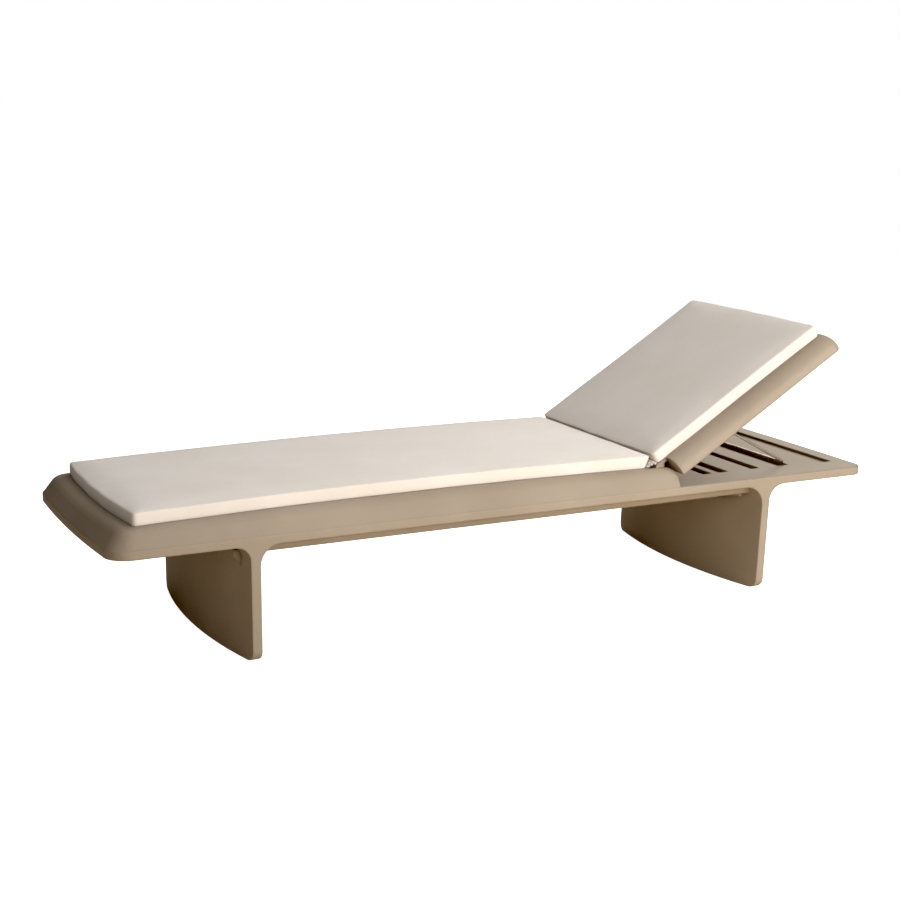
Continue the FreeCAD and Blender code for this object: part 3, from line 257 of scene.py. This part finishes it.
# %% One call a metal: its tone, the dull patches, the gloss and the streak's scale
PLATED = (colour(176, 178, 180), colour(140, 141, 142))
BRIGHT = (colour(190, 190, 190), colour(150, 150, 150))
WARM_STEEL = (colour(214, 204, 188), colour(156, 147, 134))
zinc_steel = metal_finish("plated_steel", *PLATED, 0.3, (40, 900, 900))
screw_steel = metal_finish("screw_steel", *BRIGHT, 0.26, (700, 700, 90))
wire_steel = metal_finish("bent_wire", *WARM_STEEL, 0.22, (60, 60, 60))

# %% One call a plastic or rubber: its tones, the roughness, the grain's scale and depth
NYLON = (colour(214, 210, 200), colour(196, 190, 178))
DARK_PLASTIC = (colour(58, 54, 50), colour(78, 73, 67))
BLACK_RUBBER = (colour(38, 37, 36), colour(70, 67, 62))
STUBBLE = (colour(52, 48, 44), colour(90, 84, 76))
white_nylon = dull_finish("turned_nylon", *NYLON, 0.42, 900, 0.00004)
clip_plastic = dull_finish("moulded_clips", *DARK_PLASTIC, 0.5, 1300, 0.00008)
rubber = dull_finish("rubber", *BLACK_RUBBER, 0.74, 700, 0.00012)
hook_tape = dull_finish("hook_tape", *STUBBLE, 0.9, 1900, 0.0006)
print("hardware finishes: 7")

# %% Give every carried-over node its finish
NODE_FINISH = {
    "lounger_body": moulding,
    "backrest_panel": moulding,
    "leg_glides": rubber,
    "hinge_bracket_near": zinc_steel,
    "hinge_bracket_far": zinc_steel,
    "bracket_screws": screw_steel,
    "hinge_pins": screw_steel,
    "hinge_arm_near": zinc_steel,
    "hinge_arm_far": zinc_steel,
    "arm_screws": screw_steel,
    "hinge_bushes": white_nylon,
    "panel_buffers": rubber,
    "prop_clips": clip_plastic,
    "clip_screws": screw_steel,
    "prop_bushes": white_nylon,
    "prop_wire": wire_steel,
    "seat_grip_pads": hook_tape,
    "back_grip_pads": hook_tape,
}
for name, finish in NODE_FINISH.items():
    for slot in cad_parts[name].material_slots:
        slot.material = finish
print("finished nodes:", len(NODE_FINISH))

# %% [markdown]
# ## The cover fabric
#
# Both pads wear a cream outdoor canvas in plain weave, with threads about a millimetre apart. Two
# crossed sine waves give the over-and-under of the threads. On a side face one of the waves would
# run along the face and vanish, so the surface normal picks the two axes that lie in the face. The
# back pad is tilted, and its weave is turned with it.

# %% Woven canvas
CREAM = colour(229, 220, 211)
CREAM_WARM = colour(222, 211, 199)
THREAD = 0.0011
SLUB_SCALE = (12.0, 700.0, 700.0)
FABRIC_NAP = {
    "Specular IOR Level": 0.22,
    "Sheen Weight": 0.35,
    "Sheen Roughness": 0.5,
}


def woven_finish(name, turn=0.0):
    finish = Finish(name, FABRIC_NAP)
    place = finish.place(turn)
    facing = finish.node("ShaderNodeTexCoord", output="Normal")
    if turn:
        turned = {"Vector": facing, "Rotation": (0.0, turn, 0.0)}
        facing = finish.node("ShaderNodeMapping", {"vector_type": "NORMAL"}, turned)
    pitch = math.pi / THREAD
    along, across, upward = [(axis * pitch).sine() for axis in finish.parts(place)]
    side_x, side_y, _ = [abs(part).between(0.6, 0.75) for part in finish.parts(facing)]
    flat = (1 - side_x) * (1 - side_y)
    weave = flat * along * across + side_x * across * upward + side_y * along * upward
    slub = finish.noise(finish.stretched(place, SLUB_SCALE), 1.0, 2.0)
    cloud = finish.noise(place, 7.0, 3.0)
    threads = weave * 0.5 + 0.5
    shade = cloud.between(0.35, 0.7) * 0.6 + slub.between(0.35, 0.7) * 0.2 + threads * 0.15
    return finish.shade(
        Base_Color=finish.blend(shade, CREAM_WARM, CREAM),
        Roughness=0.86 - threads * 0.06,
        Normal=finish.relief(threads * 0.8 + slub * 0.2, 0.00016, 0.5),
    )


RECLINE = math.radians(31.5)
seat_fabric = woven_finish("canvas_seat")
back_fabric = woven_finish("canvas_back", RECLINE)
THREAD_TONES = (colour(228, 219, 206), colour(214, 202, 186))
thread_finish = dull_finish("seam_thread", *THREAD_TONES, 0.8, 2500, 0.00008)
print("canvas threads every", THREAD * 1000, "mm")

# %% [markdown]
# ## A pad as a closed slab
#
# A foam pad in a boxed cover is a thin slab: two large faces and a side strip sewn between them.
# One could bevel a box, but then the sides have no vertices to move. Here the slab is a grid on
# all six sides, fine at the edges and coarser in the middle, whose corners and edges are rounded
# by moving points. A grid like that inflates evenly and keeps the seam lines where they are sewn.


# %% Steps along a side, fine at both ends
FINE_STEPS = (0, 1.2, 2.6, 4.5, 7.5, 12, 18)
SIDE_STEP = 0.005


def steps_along(length, fine, coarse):
    """Positions from 0 to length: the fine steps at both ends, coarse ones between."""
    margin = fine[-1]
    count = max(2, round((length - 2 * margin) / coarse))
    middle = np.linspace(margin, length - margin, count + 1)[1:-1]
    ends = np.array(fine)
    return np.concatenate([ends, middle, length - ends[::-1]])


def slab_grid(length, half, height, coarse):
    """Points and outward quads of a closed slab, and the two loops of points at its seams."""
    fine = np.array(FINE_STEPS) / 1000
    along = steps_along(length, fine, coarse)
    across = steps_along(2 * half, fine, coarse) - half
    upward = steps_along(height, fine[:4], SIDE_STEP)
    last = (len(along) - 1, len(across) - 1, len(upward) - 1)
    points, quads, index = [], [], {}

    def point(*place):
        if place not in index:
            index[place] = len(points)
            points.append((along[place[0]], across[place[1]], upward[place[2]]))
        return index[place]

    for fixed in range(3):
        first, second = [axis for axis in range(3) if axis != fixed]
        for end in (0, last[fixed]):
            outward = (end > 0) == (fixed != 1)
            for i in range(last[first]):
                for j in range(last[second]):
                    corners = []
                    for step_i, step_j in ((0, 0), (1, 0), (1, 1), (0, 1)):
                        place = [0, 0, 0]
                        place[fixed] = end
                        place[first] = i + step_i
                        place[second] = j + step_j
                        corners.append(point(*place))
                    quads.append(corners if outward else corners[::-1])
    rim = [(i, 0) for i in range(last[0])] + [(last[0], j) for j in range(last[1])]
    rim += [(i, last[1]) for i in range(last[0], 0, -1)] + [(0, j) for j in range(last[1], 0, -1)]
    seams = [[index[(i, j, level)] for i, j in rim] for level in (0, last[2])]
    return np.array(points), quads, seams


# %% Round the slab's corners and edges
def rounded_slab(points, length, half, height, corner, edge):
    """Moves the points of a sharp slab on to one with rounded corners and edges."""
    plan = points[:, :2]
    low = np.array((corner, corner - half))
    high = np.array((length - corner, half - corner))
    centre = np.clip(plan, low, high)
    out = plan - centre
    span = np.linalg.norm(out, axis=1)
    reach = np.abs(out).max(axis=1)
    out = out * np.where(span > 0, reach / np.maximum(span, 1e-9), 1)[:, None]
    distance = np.linalg.norm(out, axis=1)
    core = np.clip(points[:, 2], edge, height - edge)
    past_side = np.clip(distance - (corner - edge), 0, None)
    past_face = np.abs(points[:, 2] - core)
    both = np.hypot(past_side, past_face)
    share = np.where(both > 0, np.maximum(past_side, past_face) / np.maximum(both, 1e-9), 1)
    shorter = distance - past_side * (1 - share)
    out = out * np.where(distance > 0, shorter / np.maximum(distance, 1e-9), 1)[:, None]
    upward = core + np.sign(points[:, 2] - core) * past_face * share
    return np.column_stack([centre + out, upward])


# %% [markdown]
# ## Filling the pads
#
# A tight foam pad still swells between its seams and dips at them. Cloth simulation gives that for
# nothing: the closed cover is pushed outwards by pressure, without gravity, for twenty frames. How
# far a point may move is capped, so the pad keeps its cut size, and the underside is pressed flat
# again where it rests.


# %% Make an object from points and faces
def mesh_piece(name, points, faces, finish):
    mesh = bpy.data.meshes.new(name)
    mesh.from_pydata([tuple(point) for point in points], [], [tuple(face) for face in faces])
    mesh.polygons.foreach_set("use_smooth", [True] * len(mesh.polygons))
    mesh.materials.append(finish)
    piece = bpy.data.objects.new(name, mesh)
    bpy.context.scene.collection.objects.link(piece)
    return piece


def points_of(mesh):
    found = np.empty(len(mesh.vertices) * 3)
    mesh.vertices.foreach_get("co", found)
    return found.reshape(-1, 3)


def move_points(piece, points):
    piece.data.vertices.foreach_set("co", np.asarray(points, float).ravel())
    piece.data.update()


# %% Inflate a closed cover
STRETCH, BENDING, CLOTH_MASS, CUT_LARGER = 25, 2.0, 0.35, 0.012


def inflate(piece, pressure, cap, frames=20):
    """Cloth simulation with pressure; returns how far each point moved, at most the cap."""
    start = points_of(piece.data)
    air = piece.modifiers.new("air", "CLOTH")
    air.settings.use_pressure = True
    air.settings.uniform_pressure_force = pressure
    air.settings.effector_weights.gravity = 0
    air.settings.quality = 4
    air.settings.mass = CLOTH_MASS
    air.settings.tension_stiffness = STRETCH
    air.settings.compression_stiffness = STRETCH
    air.settings.bending_stiffness = BENDING
    air.settings.shrink_min = -CUT_LARGER
    air.point_cache.frame_start = 1
    air.point_cache.frame_end = frames
    for step in range(1, frames + 1):
        bpy.context.scene.frame_set(step)
    depsgraph = bpy.context.evaluated_depsgraph_get()
    swollen = points_of(piece.evaluated_get(depsgraph).data)
    piece.modifiers.remove(air)
    bpy.context.scene.frame_set(1)
    move = swollen - start
    reach = np.linalg.norm(move, axis=1, keepdims=True)
    return move * (cap * np.tanh(reach / cap) / np.maximum(reach, 1e-9))


# %% [markdown]
# ## The two pads
#
# Both pads are cut alike: 600 mm wide and about 35 mm thick. The seat pad's foot end bulges like
# the body's own foot end, and the pad lies on the seat's slight arch. The back pad is flat on its
# panel. Their edges wander by under a millimetre, as sewn edges do. The seat pad's top leans
# towards the back pad, because foam that is pressed into a corner closes it. Each pad is made
# flat, inflated flat, and only then bent on to what carries it.

# %% Where the pads lie
HINGE = np.array((0.410, 0.0, 0.325))
REST_GAP = 0.0003
PANEL_TOP = 0.0225
ARCH = np.array(((-1.040, 0.340), (-0.300, 0.353), (0.456, 0.345)))


def arch_circle(three):
    """Centre and radius of the circle through three points."""
    rows = np.column_stack([2 * three, np.ones(3)])
    across, upward, rest = np.linalg.solve(rows, (three**2).sum(axis=1))
    return across, upward, math.sqrt(rest + across**2 + upward**2)


arch_x, arch_z, arch_radius = arch_circle(ARCH)


def on_seat(points):
    """From the flat seat pad's space to its place on the arched seat."""
    base = arch_z + np.sqrt(arch_radius**2 - (points[:, 0] - arch_x) ** 2)
    return np.column_stack([points[:, 0], points[:, 1], base + REST_GAP + points[:, 2]])


def on_panel(points):
    """From the flat back pad's space to its place on the raised panel."""
    along = points[:, 0]
    above = points[:, 2] + PANEL_TOP + REST_GAP
    place_x = HINGE[0] + along * math.cos(RECLINE) - above * math.sin(RECLINE)
    place_z = HINGE[2] + along * math.sin(RECLINE) + above * math.cos(RECLINE)
    return np.column_stack([place_x, points[:, 1], place_z])


print("seat arch radius", round(arch_radius, 1), "m")


# %% Cut and crown one pad
PAD_HALF, PAD_HEIGHT, PAD_CROWN = 0.2985, 0.0305, 0.0045
PAD_CORNER, PAD_EDGE, PAD_WAIST = 0.012, 0.006, 0.0015
GRID_STEP = 0.012
LEAN_REACH = 0.06
EDGE_WANDER = 0.0008


def wander(place, waves, drift):
    """The slow, uneven wave of a hand-sewn edge, between -1 and 1."""
    return np.sin(place * waves + 2 * np.sin(place * drift))


def cut_pad(start, end, foot_bow, head_bow, lean):
    """Points, faces and seam loops of a flat pad, before it is filled."""
    length = end - start
    points, quads, seams = slab_grid(length, PAD_HALF, PAD_HEIGHT, GRID_STEP)
    points = rounded_slab(points, length, PAD_HALF, PAD_HEIGHT, PAD_CORNER, PAD_EDGE)
    share_x = 2 * points[:, 0] / length - 1
    share_y = points[:, 1] / PAD_HALF
    share_z = np.clip(points[:, 2] / PAD_HEIGHT, 0, 1)
    rise = PAD_CROWN * (1 - share_y**4) * (1 - share_x**16) * share_z
    bulge = foot_bow * share_y**2 * (1 - points[:, 0] / length)
    bulge -= head_bow * share_y**2 * points[:, 0] / length
    bulge += EDGE_WANDER * share_x * wander(points[:, 1], 31, 11)
    waist = PAD_WAIST * (1 - share_x**2) * share_y
    waist += EDGE_WANDER * share_y * wander(points[:, 0], 19, 7)
    leaning = lean * share_z * np.clip((points[:, 0] - length) / LEAN_REACH + 1, 0, 1) ** 2
    along = start + points[:, 0] + bulge + leaning
    points = np.column_stack([along, points[:, 1] - waist, points[:, 2] + rise])
    return points, quads, seams


# %% Fill the pad, press its underside flat and lay it in its place
PRESSURE, SWELL = 4.0, 0.004
UNDERSIDE, PRESSED = 0.008, 0.6


def make_pad(name, cut, finish, place):
    """One pad, with its two seam lines as paths of points in the frame."""
    points, quads, seams = cut
    pad = mesh_piece(name, points, quads, finish)
    points = points + inflate(pad, PRESSURE, SWELL)
    floor_share = np.clip(1 - points[:, 2] / UNDERSIDE, 0, 1)
    points[:, 2] = np.maximum(points[:, 2] * (1 - PRESSED * floor_share), 0)
    paths = [place(points[loop]) for loop in seams]
    move_points(pad, points)
    finer = pad.modifiers.new("finer", "SUBSURF")
    finer.levels = finer.render_levels = 1
    depsgraph = bpy.context.evaluated_depsgraph_get()
    smooth = bpy.data.meshes.new_from_object(pad.evaluated_get(depsgraph))
    pad.modifiers.remove(finer)
    pad.data = smooth
    smooth.name = name
    smooth.polygons.foreach_set("use_smooth", [True] * len(smooth.polygons))
    flat = points_of(smooth)
    move_points(pad, place(flat))
    print(name, "points:", len(flat), "thickness:", round(float(flat[:, 2].max()), 4))
    return pad, paths


# %% The seat pad
seat_cut = cut_pad(start=-0.980, end=0.388, foot_bow=0.017, head_bow=0.002, lean=0.015)
seat_pad, seat_paths = make_pad("seat_pad", seat_cut, seat_fabric, on_seat)
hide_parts("seat_cover", "seat_foam")
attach(seat_pad, "base")

# %% The back pad
back_cut = cut_pad(start=0.0165, end=0.606, foot_bow=0.002, head_bow=0.004, lean=0.0)
back_pad, back_paths = make_pad("back_pad", back_cut, back_fabric, on_panel)
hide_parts("back_cover", "back_foam")
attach(back_pad, "backrest")

# %% [markdown]
# ## Seams and stitches
#
# The side strip is sewn to the top and the bottom of each cover. A seam shows as a fine ridge where
# two layers are turned in, with stitches beside it. Both follow a path, which is the sort of work
# that Geometry Nodes do best: one tree sweeps a small round section along the path for the ridge,
# another sets a stitch every few millimetres and turns it along the path.


# %% A Geometry Nodes tree with named inputs
class PathTree:
    """A Geometry Nodes tree that makes a mesh from a path."""

    def __init__(self, name, inputs):
        self.group = bpy.data.node_groups.new(name, "GeometryNodeTree")
        sockets = self.group.interface
        sockets.new_socket("Path", in_out="INPUT", socket_type="NodeSocketGeometry")
        for label, kind in inputs.items():
            sockets.new_socket(label, in_out="INPUT", socket_type=kind)
        sockets.new_socket("Made", in_out="OUTPUT", socket_type="NodeSocketGeometry")
        self.start = self.group.nodes.new("NodeGroupInput")
        self.end = self.group.nodes.new("NodeGroupOutput")

    def node(self, kind, settings=None, values=None):
        made = self.group.nodes.new(kind)
        for name, value in (settings or {}).items():
            setattr(made, name, value)
        for name, value in (values or {}).items():
            if isinstance(value, bpy.types.NodeSocket):
                self.group.links.new(value, made.inputs[name])
            else:
                made.inputs[name].default_value = value
        return made

    def finish_with(self, geometry):
        """Realized and with its material set, because instances aren't exported."""
        real = self.node("GeometryNodeRealizeInstances", values={"Geometry": geometry})
        inputs = {"Geometry": real.outputs["Geometry"], "Material": self.start.outputs["Material"]}
        dressed = self.node("GeometryNodeSetMaterial", values=inputs)
        self.group.links.new(dressed.outputs["Geometry"], self.end.inputs["Made"])


def ridge_tree():
    tree = PathTree("seam_ridge", {"Radius": "NodeSocketFloat", "Material": "NodeSocketMaterial"})
    read = tree.start.outputs
    ring_size = {"Resolution": 6, "Radius": read["Radius"]}
    ring = tree.node("GeometryNodeCurvePrimitiveCircle", values=ring_size)
    sweep = {"Curve": read["Path"], "Profile Curve": ring.outputs["Curve"]}
    swept = tree.node("GeometryNodeCurveToMesh", values=sweep)
    tree.finish_with(swept.outputs["Mesh"])
    return tree.group


def stitch_tree():
    inputs = {"Pitch": "NodeSocketFloat", "Length": "NodeSocketFloat", "Radius": "NodeSocketFloat"}
    tree = PathTree("seam_stitches", {**inputs, "Material": "NodeSocketMaterial"})
    read = tree.start.outputs
    every = {"Curve": read["Path"], "Length": read["Pitch"]}
    spaced = tree.node("GeometryNodeResampleCurve", {"mode": "LENGTH"}, every)
    bead = {"Segments": 6, "Rings": 4, "Radius": read["Radius"]}
    stitch = tree.node("GeometryNodeMeshUVSphere", values=bead)
    lengths = {0: read["Length"], 1: read["Radius"]}
    longer = tree.node("ShaderNodeMath", {"operation": "DIVIDE"}, lengths)
    shape = tree.node("ShaderNodeCombineXYZ", values={"X": 1.0, "Y": 1.0, "Z": longer.outputs[0]})
    stretch = {"Geometry": stitch.outputs["Mesh"], "Scale": shape.outputs["Vector"]}
    drawn = tree.node("GeometryNodeTransform", values=stretch)
    tangent = tree.node("GeometryNodeInputTangent")
    onward = {"Vector": tangent.outputs["Tangent"]}
    turn = tree.node("FunctionNodeAlignRotationToVector", {"axis": "Z"}, onward)
    sewn = tree.node(
        "GeometryNodeInstanceOnPoints",
        values={
            "Points": spaced.outputs["Curve"],
            "Instance": drawn.outputs["Geometry"],
            "Rotation": turn.outputs["Rotation"],
        },
    )
    tree.finish_with(sewn.outputs["Instances"])
    return tree.group


ridges = ridge_tree()
stitches = stitch_tree()
print("trees:", ridges.name, stitches.name)


# %% Run a tree along closed paths and keep the mesh
def along_paths(name, paths, tree, sizes, finish):
    """One mesh piece made by a tree along several closed paths."""
    curve = bpy.data.curves.new(name, "CURVE")
    curve.dimensions = "3D"
    for path in paths:
        spline = curve.splines.new("POLY")
        spline.points.add(len(path) - 1)
        spline.points.foreach_set("co", np.column_stack([path, np.ones(len(path))]).ravel())
        spline.use_cyclic_u = True
    guide = bpy.data.objects.new(name + "_path", curve)
    bpy.context.scene.collection.objects.link(guide)
    made = guide.modifiers.new("made", "NODES")
    made.node_group = tree
    values = {**sizes, "Material": finish}
    for item in tree.interface.items_tree:
        if item.in_out == "INPUT" and item.name in values:
            made[item.identifier] = values[item.name]
    guide.update_tag()
    depsgraph = bpy.context.evaluated_depsgraph_get()
    mesh = bpy.data.meshes.new_from_object(guide.evaluated_get(depsgraph))
    bpy.data.objects.remove(guide)
    mesh.polygons.foreach_set("use_smooth", [True] * len(mesh.polygons))
    piece = bpy.data.objects.new(name, mesh)
    bpy.context.scene.collection.objects.link(piece)
    print(name, "faces:", len(mesh.polygons))
    return piece


def surface_paths(pad, paths, lift):
    """The paths drawn on to a pad's surface and lifted a little along its normal."""
    depsgraph = bpy.context.evaluated_depsgraph_get()
    skin = BVHTree.FromObject(pad, depsgraph)
    lifted = []
    for path in paths:
        line = []
        for place in path:
            near, normal, _, _ = skin.find_nearest(Vector(place))
            line.append(near + normal * lift)
        lifted.append(np.array(line))
    return lifted


# %% Sew both pads
RIDGE = 0.0009
ON_RIDGE = RIDGE * 0.9
STITCH = {"Pitch": 0.0042, "Length": 0.0013, "Radius": 0.00035}
for pad, paths, body, fabric in (
    (seat_pad, seat_paths, "base", seat_fabric),
    (back_pad, back_paths, "backrest", back_fabric),
):
    seams = surface_paths(pad, paths, 0.0)
    ridge = along_paths(pad.name + "_seams", seams, ridges, {"Radius": RIDGE}, fabric)
    raised = surface_paths(pad, paths, ON_RIDGE)
    sewing = along_paths(pad.name + "_stitches", raised, stitches, STITCH, thread_finish)
    for piece in (ridge, sewing):
        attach(piece, body)

# %% [markdown]
# ## The fabric hinge between the pads
#
# Low in the wedge between the two pads runs a strip of the same canvas, sewn to both covers so that
# they stay together. With the back raised it has slack and gathers into uneven pleats, which show
# at the side as a small zigzag. It is a sheet folded along its length, written as a wave across
# the gap whose pleats wander a little along the fold.

# %% A pleated strip
FLAP_FROM = np.array((0.3850, 0.3495))
FLAP_TO = np.array((0.4135, 0.3575))
PLEATS = 3.0
PLEAT_DEPTH, STRIP_ARCH, STRIP_SWAY = 0.0052, 0.004, 0.0018
STRIP_HALF = 0.2955
CANVAS_GAUGE = 0.0011


def pleated_strip(name, finish):
    """The folded sheet between the covers, with the canvas's own thickness."""
    count_u, count_v = 37, 150
    share = np.linspace(0, 1, count_u)
    place_y = np.linspace(-STRIP_HALF, STRIP_HALF, count_v)
    grid_u, grid_y = np.meshgrid(share, place_y, indexing="ij")
    shift = 0.25 * np.sin(grid_y * 31) + 0.18 * np.sin(grid_y * 73 + 1.3)
    slack = np.sin(np.pi * grid_u)
    height = PLEAT_DEPTH * slack**0.5 * np.cos(2 * np.pi * PLEATS * grid_u + shift)
    height += STRIP_ARCH * slack
    sway = STRIP_SWAY * slack * np.sin(4 * np.pi * PLEATS * grid_u + grid_y * 50)
    line = FLAP_FROM + (FLAP_TO - FLAP_FROM) * grid_u[..., None]
    points = np.stack([line[..., 0] + sway, grid_y, line[..., 1] + height], axis=-1).reshape(-1, 3)
    faces = []
    for i in range(count_u - 1):
        for j in range(count_v - 1):
            corner = i * count_v + j
            faces.append((corner, corner + count_v, corner + count_v + 1, corner + 1))
    strip = mesh_piece(name, points, faces, finish)
    thick = strip.modifiers.new("cloth_thickness", "SOLIDIFY")
    thick.thickness = CANVAS_GAUGE
    thick.offset = 0.0
    return strip


fold_strip = pleated_strip("pad_fold_strip", seat_fabric)
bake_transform(fold_strip)
print("fold strip points:", len(fold_strip.data.vertices))

# %% [markdown]
# ## Studio
#
# The lounger stands on a plain pale floor under large soft lights. The strongest is low, on the
# near side and well towards the head end, so the near faces are bright, a little brighter towards
# the head, and every face that looks towards the foot end falls into shade. A weak light from the
# foot end keeps that shade readable, and a warm one from the far side warms the level faces.
#
# A white floor would flood the shade with reflected light. So the floor shows itself to the camera
# as white, but reflects on to the lounger like a warm, slightly darker card. A small black level
# then deepens the darkest tones, as a photograph does.


# %% Pale floor and air
WHITE = (1.0, 1.0, 1.0, 1.0)
CARD = colour(243, 224, 197)
FLOOR_GLOW = 0.96
AIR_GLOW = 1.0
AIR_FILL = 0.05


def shown(finish, seen, reflected):
    """What the camera sees in one shader, and what other surfaces receive in another."""
    path = finish.node("ShaderNodeLightPath", output="Is Camera Ray")
    both = finish.tree.nodes.new("ShaderNodeMixShader")
    finish.feed(both.inputs[0], path)
    for slot, shader in ((1, reflected), (2, seen)):
        finish.tree.links.new(shader.socket, both.inputs[slot])
    return both.outputs[0]


floor_finish = Finish("pale_floor", {})
matt = floor_finish.node("ShaderNodeBsdfDiffuse", values={"Color": WHITE})
glow = floor_finish.node("ShaderNodeEmission", values={"Color": WHITE, "Strength": FLOOR_GLOW})
bright = floor_finish.tree.nodes.new("ShaderNodeAddShader")
for slot, shader in enumerate((matt, glow)):
    floor_finish.tree.links.new(shader.socket, bright.inputs[slot])
card = floor_finish.node("ShaderNodeBsdfDiffuse", values={"Color": CARD})
floor_shader = shown(floor_finish, Reading(floor_finish, bright.outputs[0]), card)
output = floor_finish.tree.nodes["Material Output"]
floor_finish.tree.links.new(floor_shader, output.inputs["Surface"])
REACH = 60.0
corners = [(-REACH, -REACH, 0.0), (REACH, -REACH, 0.0), (REACH, REACH, 0.0), (-REACH, REACH, 0.0)]
floor = mesh_piece("studio_floor", corners, [(0, 1, 2, 3)], floor_finish.material)

air = bpy.data.worlds.new("studio_air")
air.use_nodes = True
background = air.node_tree.nodes["Background"]
path = air.node_tree.nodes.new("ShaderNodeLightPath")
strength = air.node_tree.nodes.new("ShaderNodeMapRange")
strength.inputs["To Min"].default_value = AIR_FILL
strength.inputs["To Max"].default_value = AIR_GLOW
air.node_tree.links.new(path.outputs["Is Camera Ray"], strength.inputs["Value"])
air.node_tree.links.new(strength.outputs["Result"], background.inputs["Strength"])
background.inputs["Color"].default_value = WHITE
bpy.context.scene.world = air

# %% How light becomes picture tones
BLACK_LEVEL = (0.018, 0.019, 0.019)
tones = bpy.context.scene.view_settings
tones.view_transform = "Standard"
tones.use_curve_mapping = True
tones.curve_mapping.black_level = BLACK_LEVEL
print("black level:", BLACK_LEVEL)


# %% Soft lights
LIGHT_AIM = Vector((0.2, 0.0, 0.3))
WARM = (1.0, 0.93, 0.82)


def soft_light(name, place, width, height, power, tint=(1.0, 1.0, 1.0)):
    """A large soft box that faces the lounger and isn't itself in view."""
    lamp = bpy.data.lights.new(name, "AREA")
    lamp.shape = "RECTANGLE"
    lamp.size, lamp.size_y = width, height
    lamp.energy = power
    lamp.color = tint
    box = bpy.data.objects.new(name, lamp)
    box.location = place
    onward = LIGHT_AIM - Vector(place)
    box.rotation_euler = onward.to_track_quat("-Z", "Y").to_euler()
    box.visible_camera = False
    bpy.context.scene.collection.objects.link(box)


soft_light("key", (1.8, -3.2, 1.4), 2.0, 1.6, 106)
soft_light("near", (0.2, -3.6, 1.2), 2.4, 1.6, 35)
soft_light("foot", (-2.2, -3.2, 1.8), 2.0, 1.6, 24)
soft_light("top", (0.0, 0.0, 3.4), 4.0, 3.0, 48)
soft_light("head", (1.6, 0.4, 3.4), 2.4, 2.4, 8)
soft_light("far", (3.0, 3.0, 2.2), 2.0, 2.0, 64, WARM)

# %% Camera, at the photograph's angle
YAW = math.radians(64.56)
PITCH = math.radians(12.16)
EYE = (-1.985, -4.104, 1.355)
lens = bpy.data.cameras.new("view")
lens.sensor_width = 36.0
lens.lens = 71.48
camera = bpy.data.objects.new("view", lens)
camera.location = EYE
level = math.cos(PITCH)
forward = Vector((math.cos(YAW) * level, math.sin(YAW) * level, -math.sin(PITCH)))
camera.rotation_euler = forward.to_track_quat("-Z", "Y").to_euler()
bpy.context.scene.collection.objects.link(camera)
bpy.context.scene.camera = camera
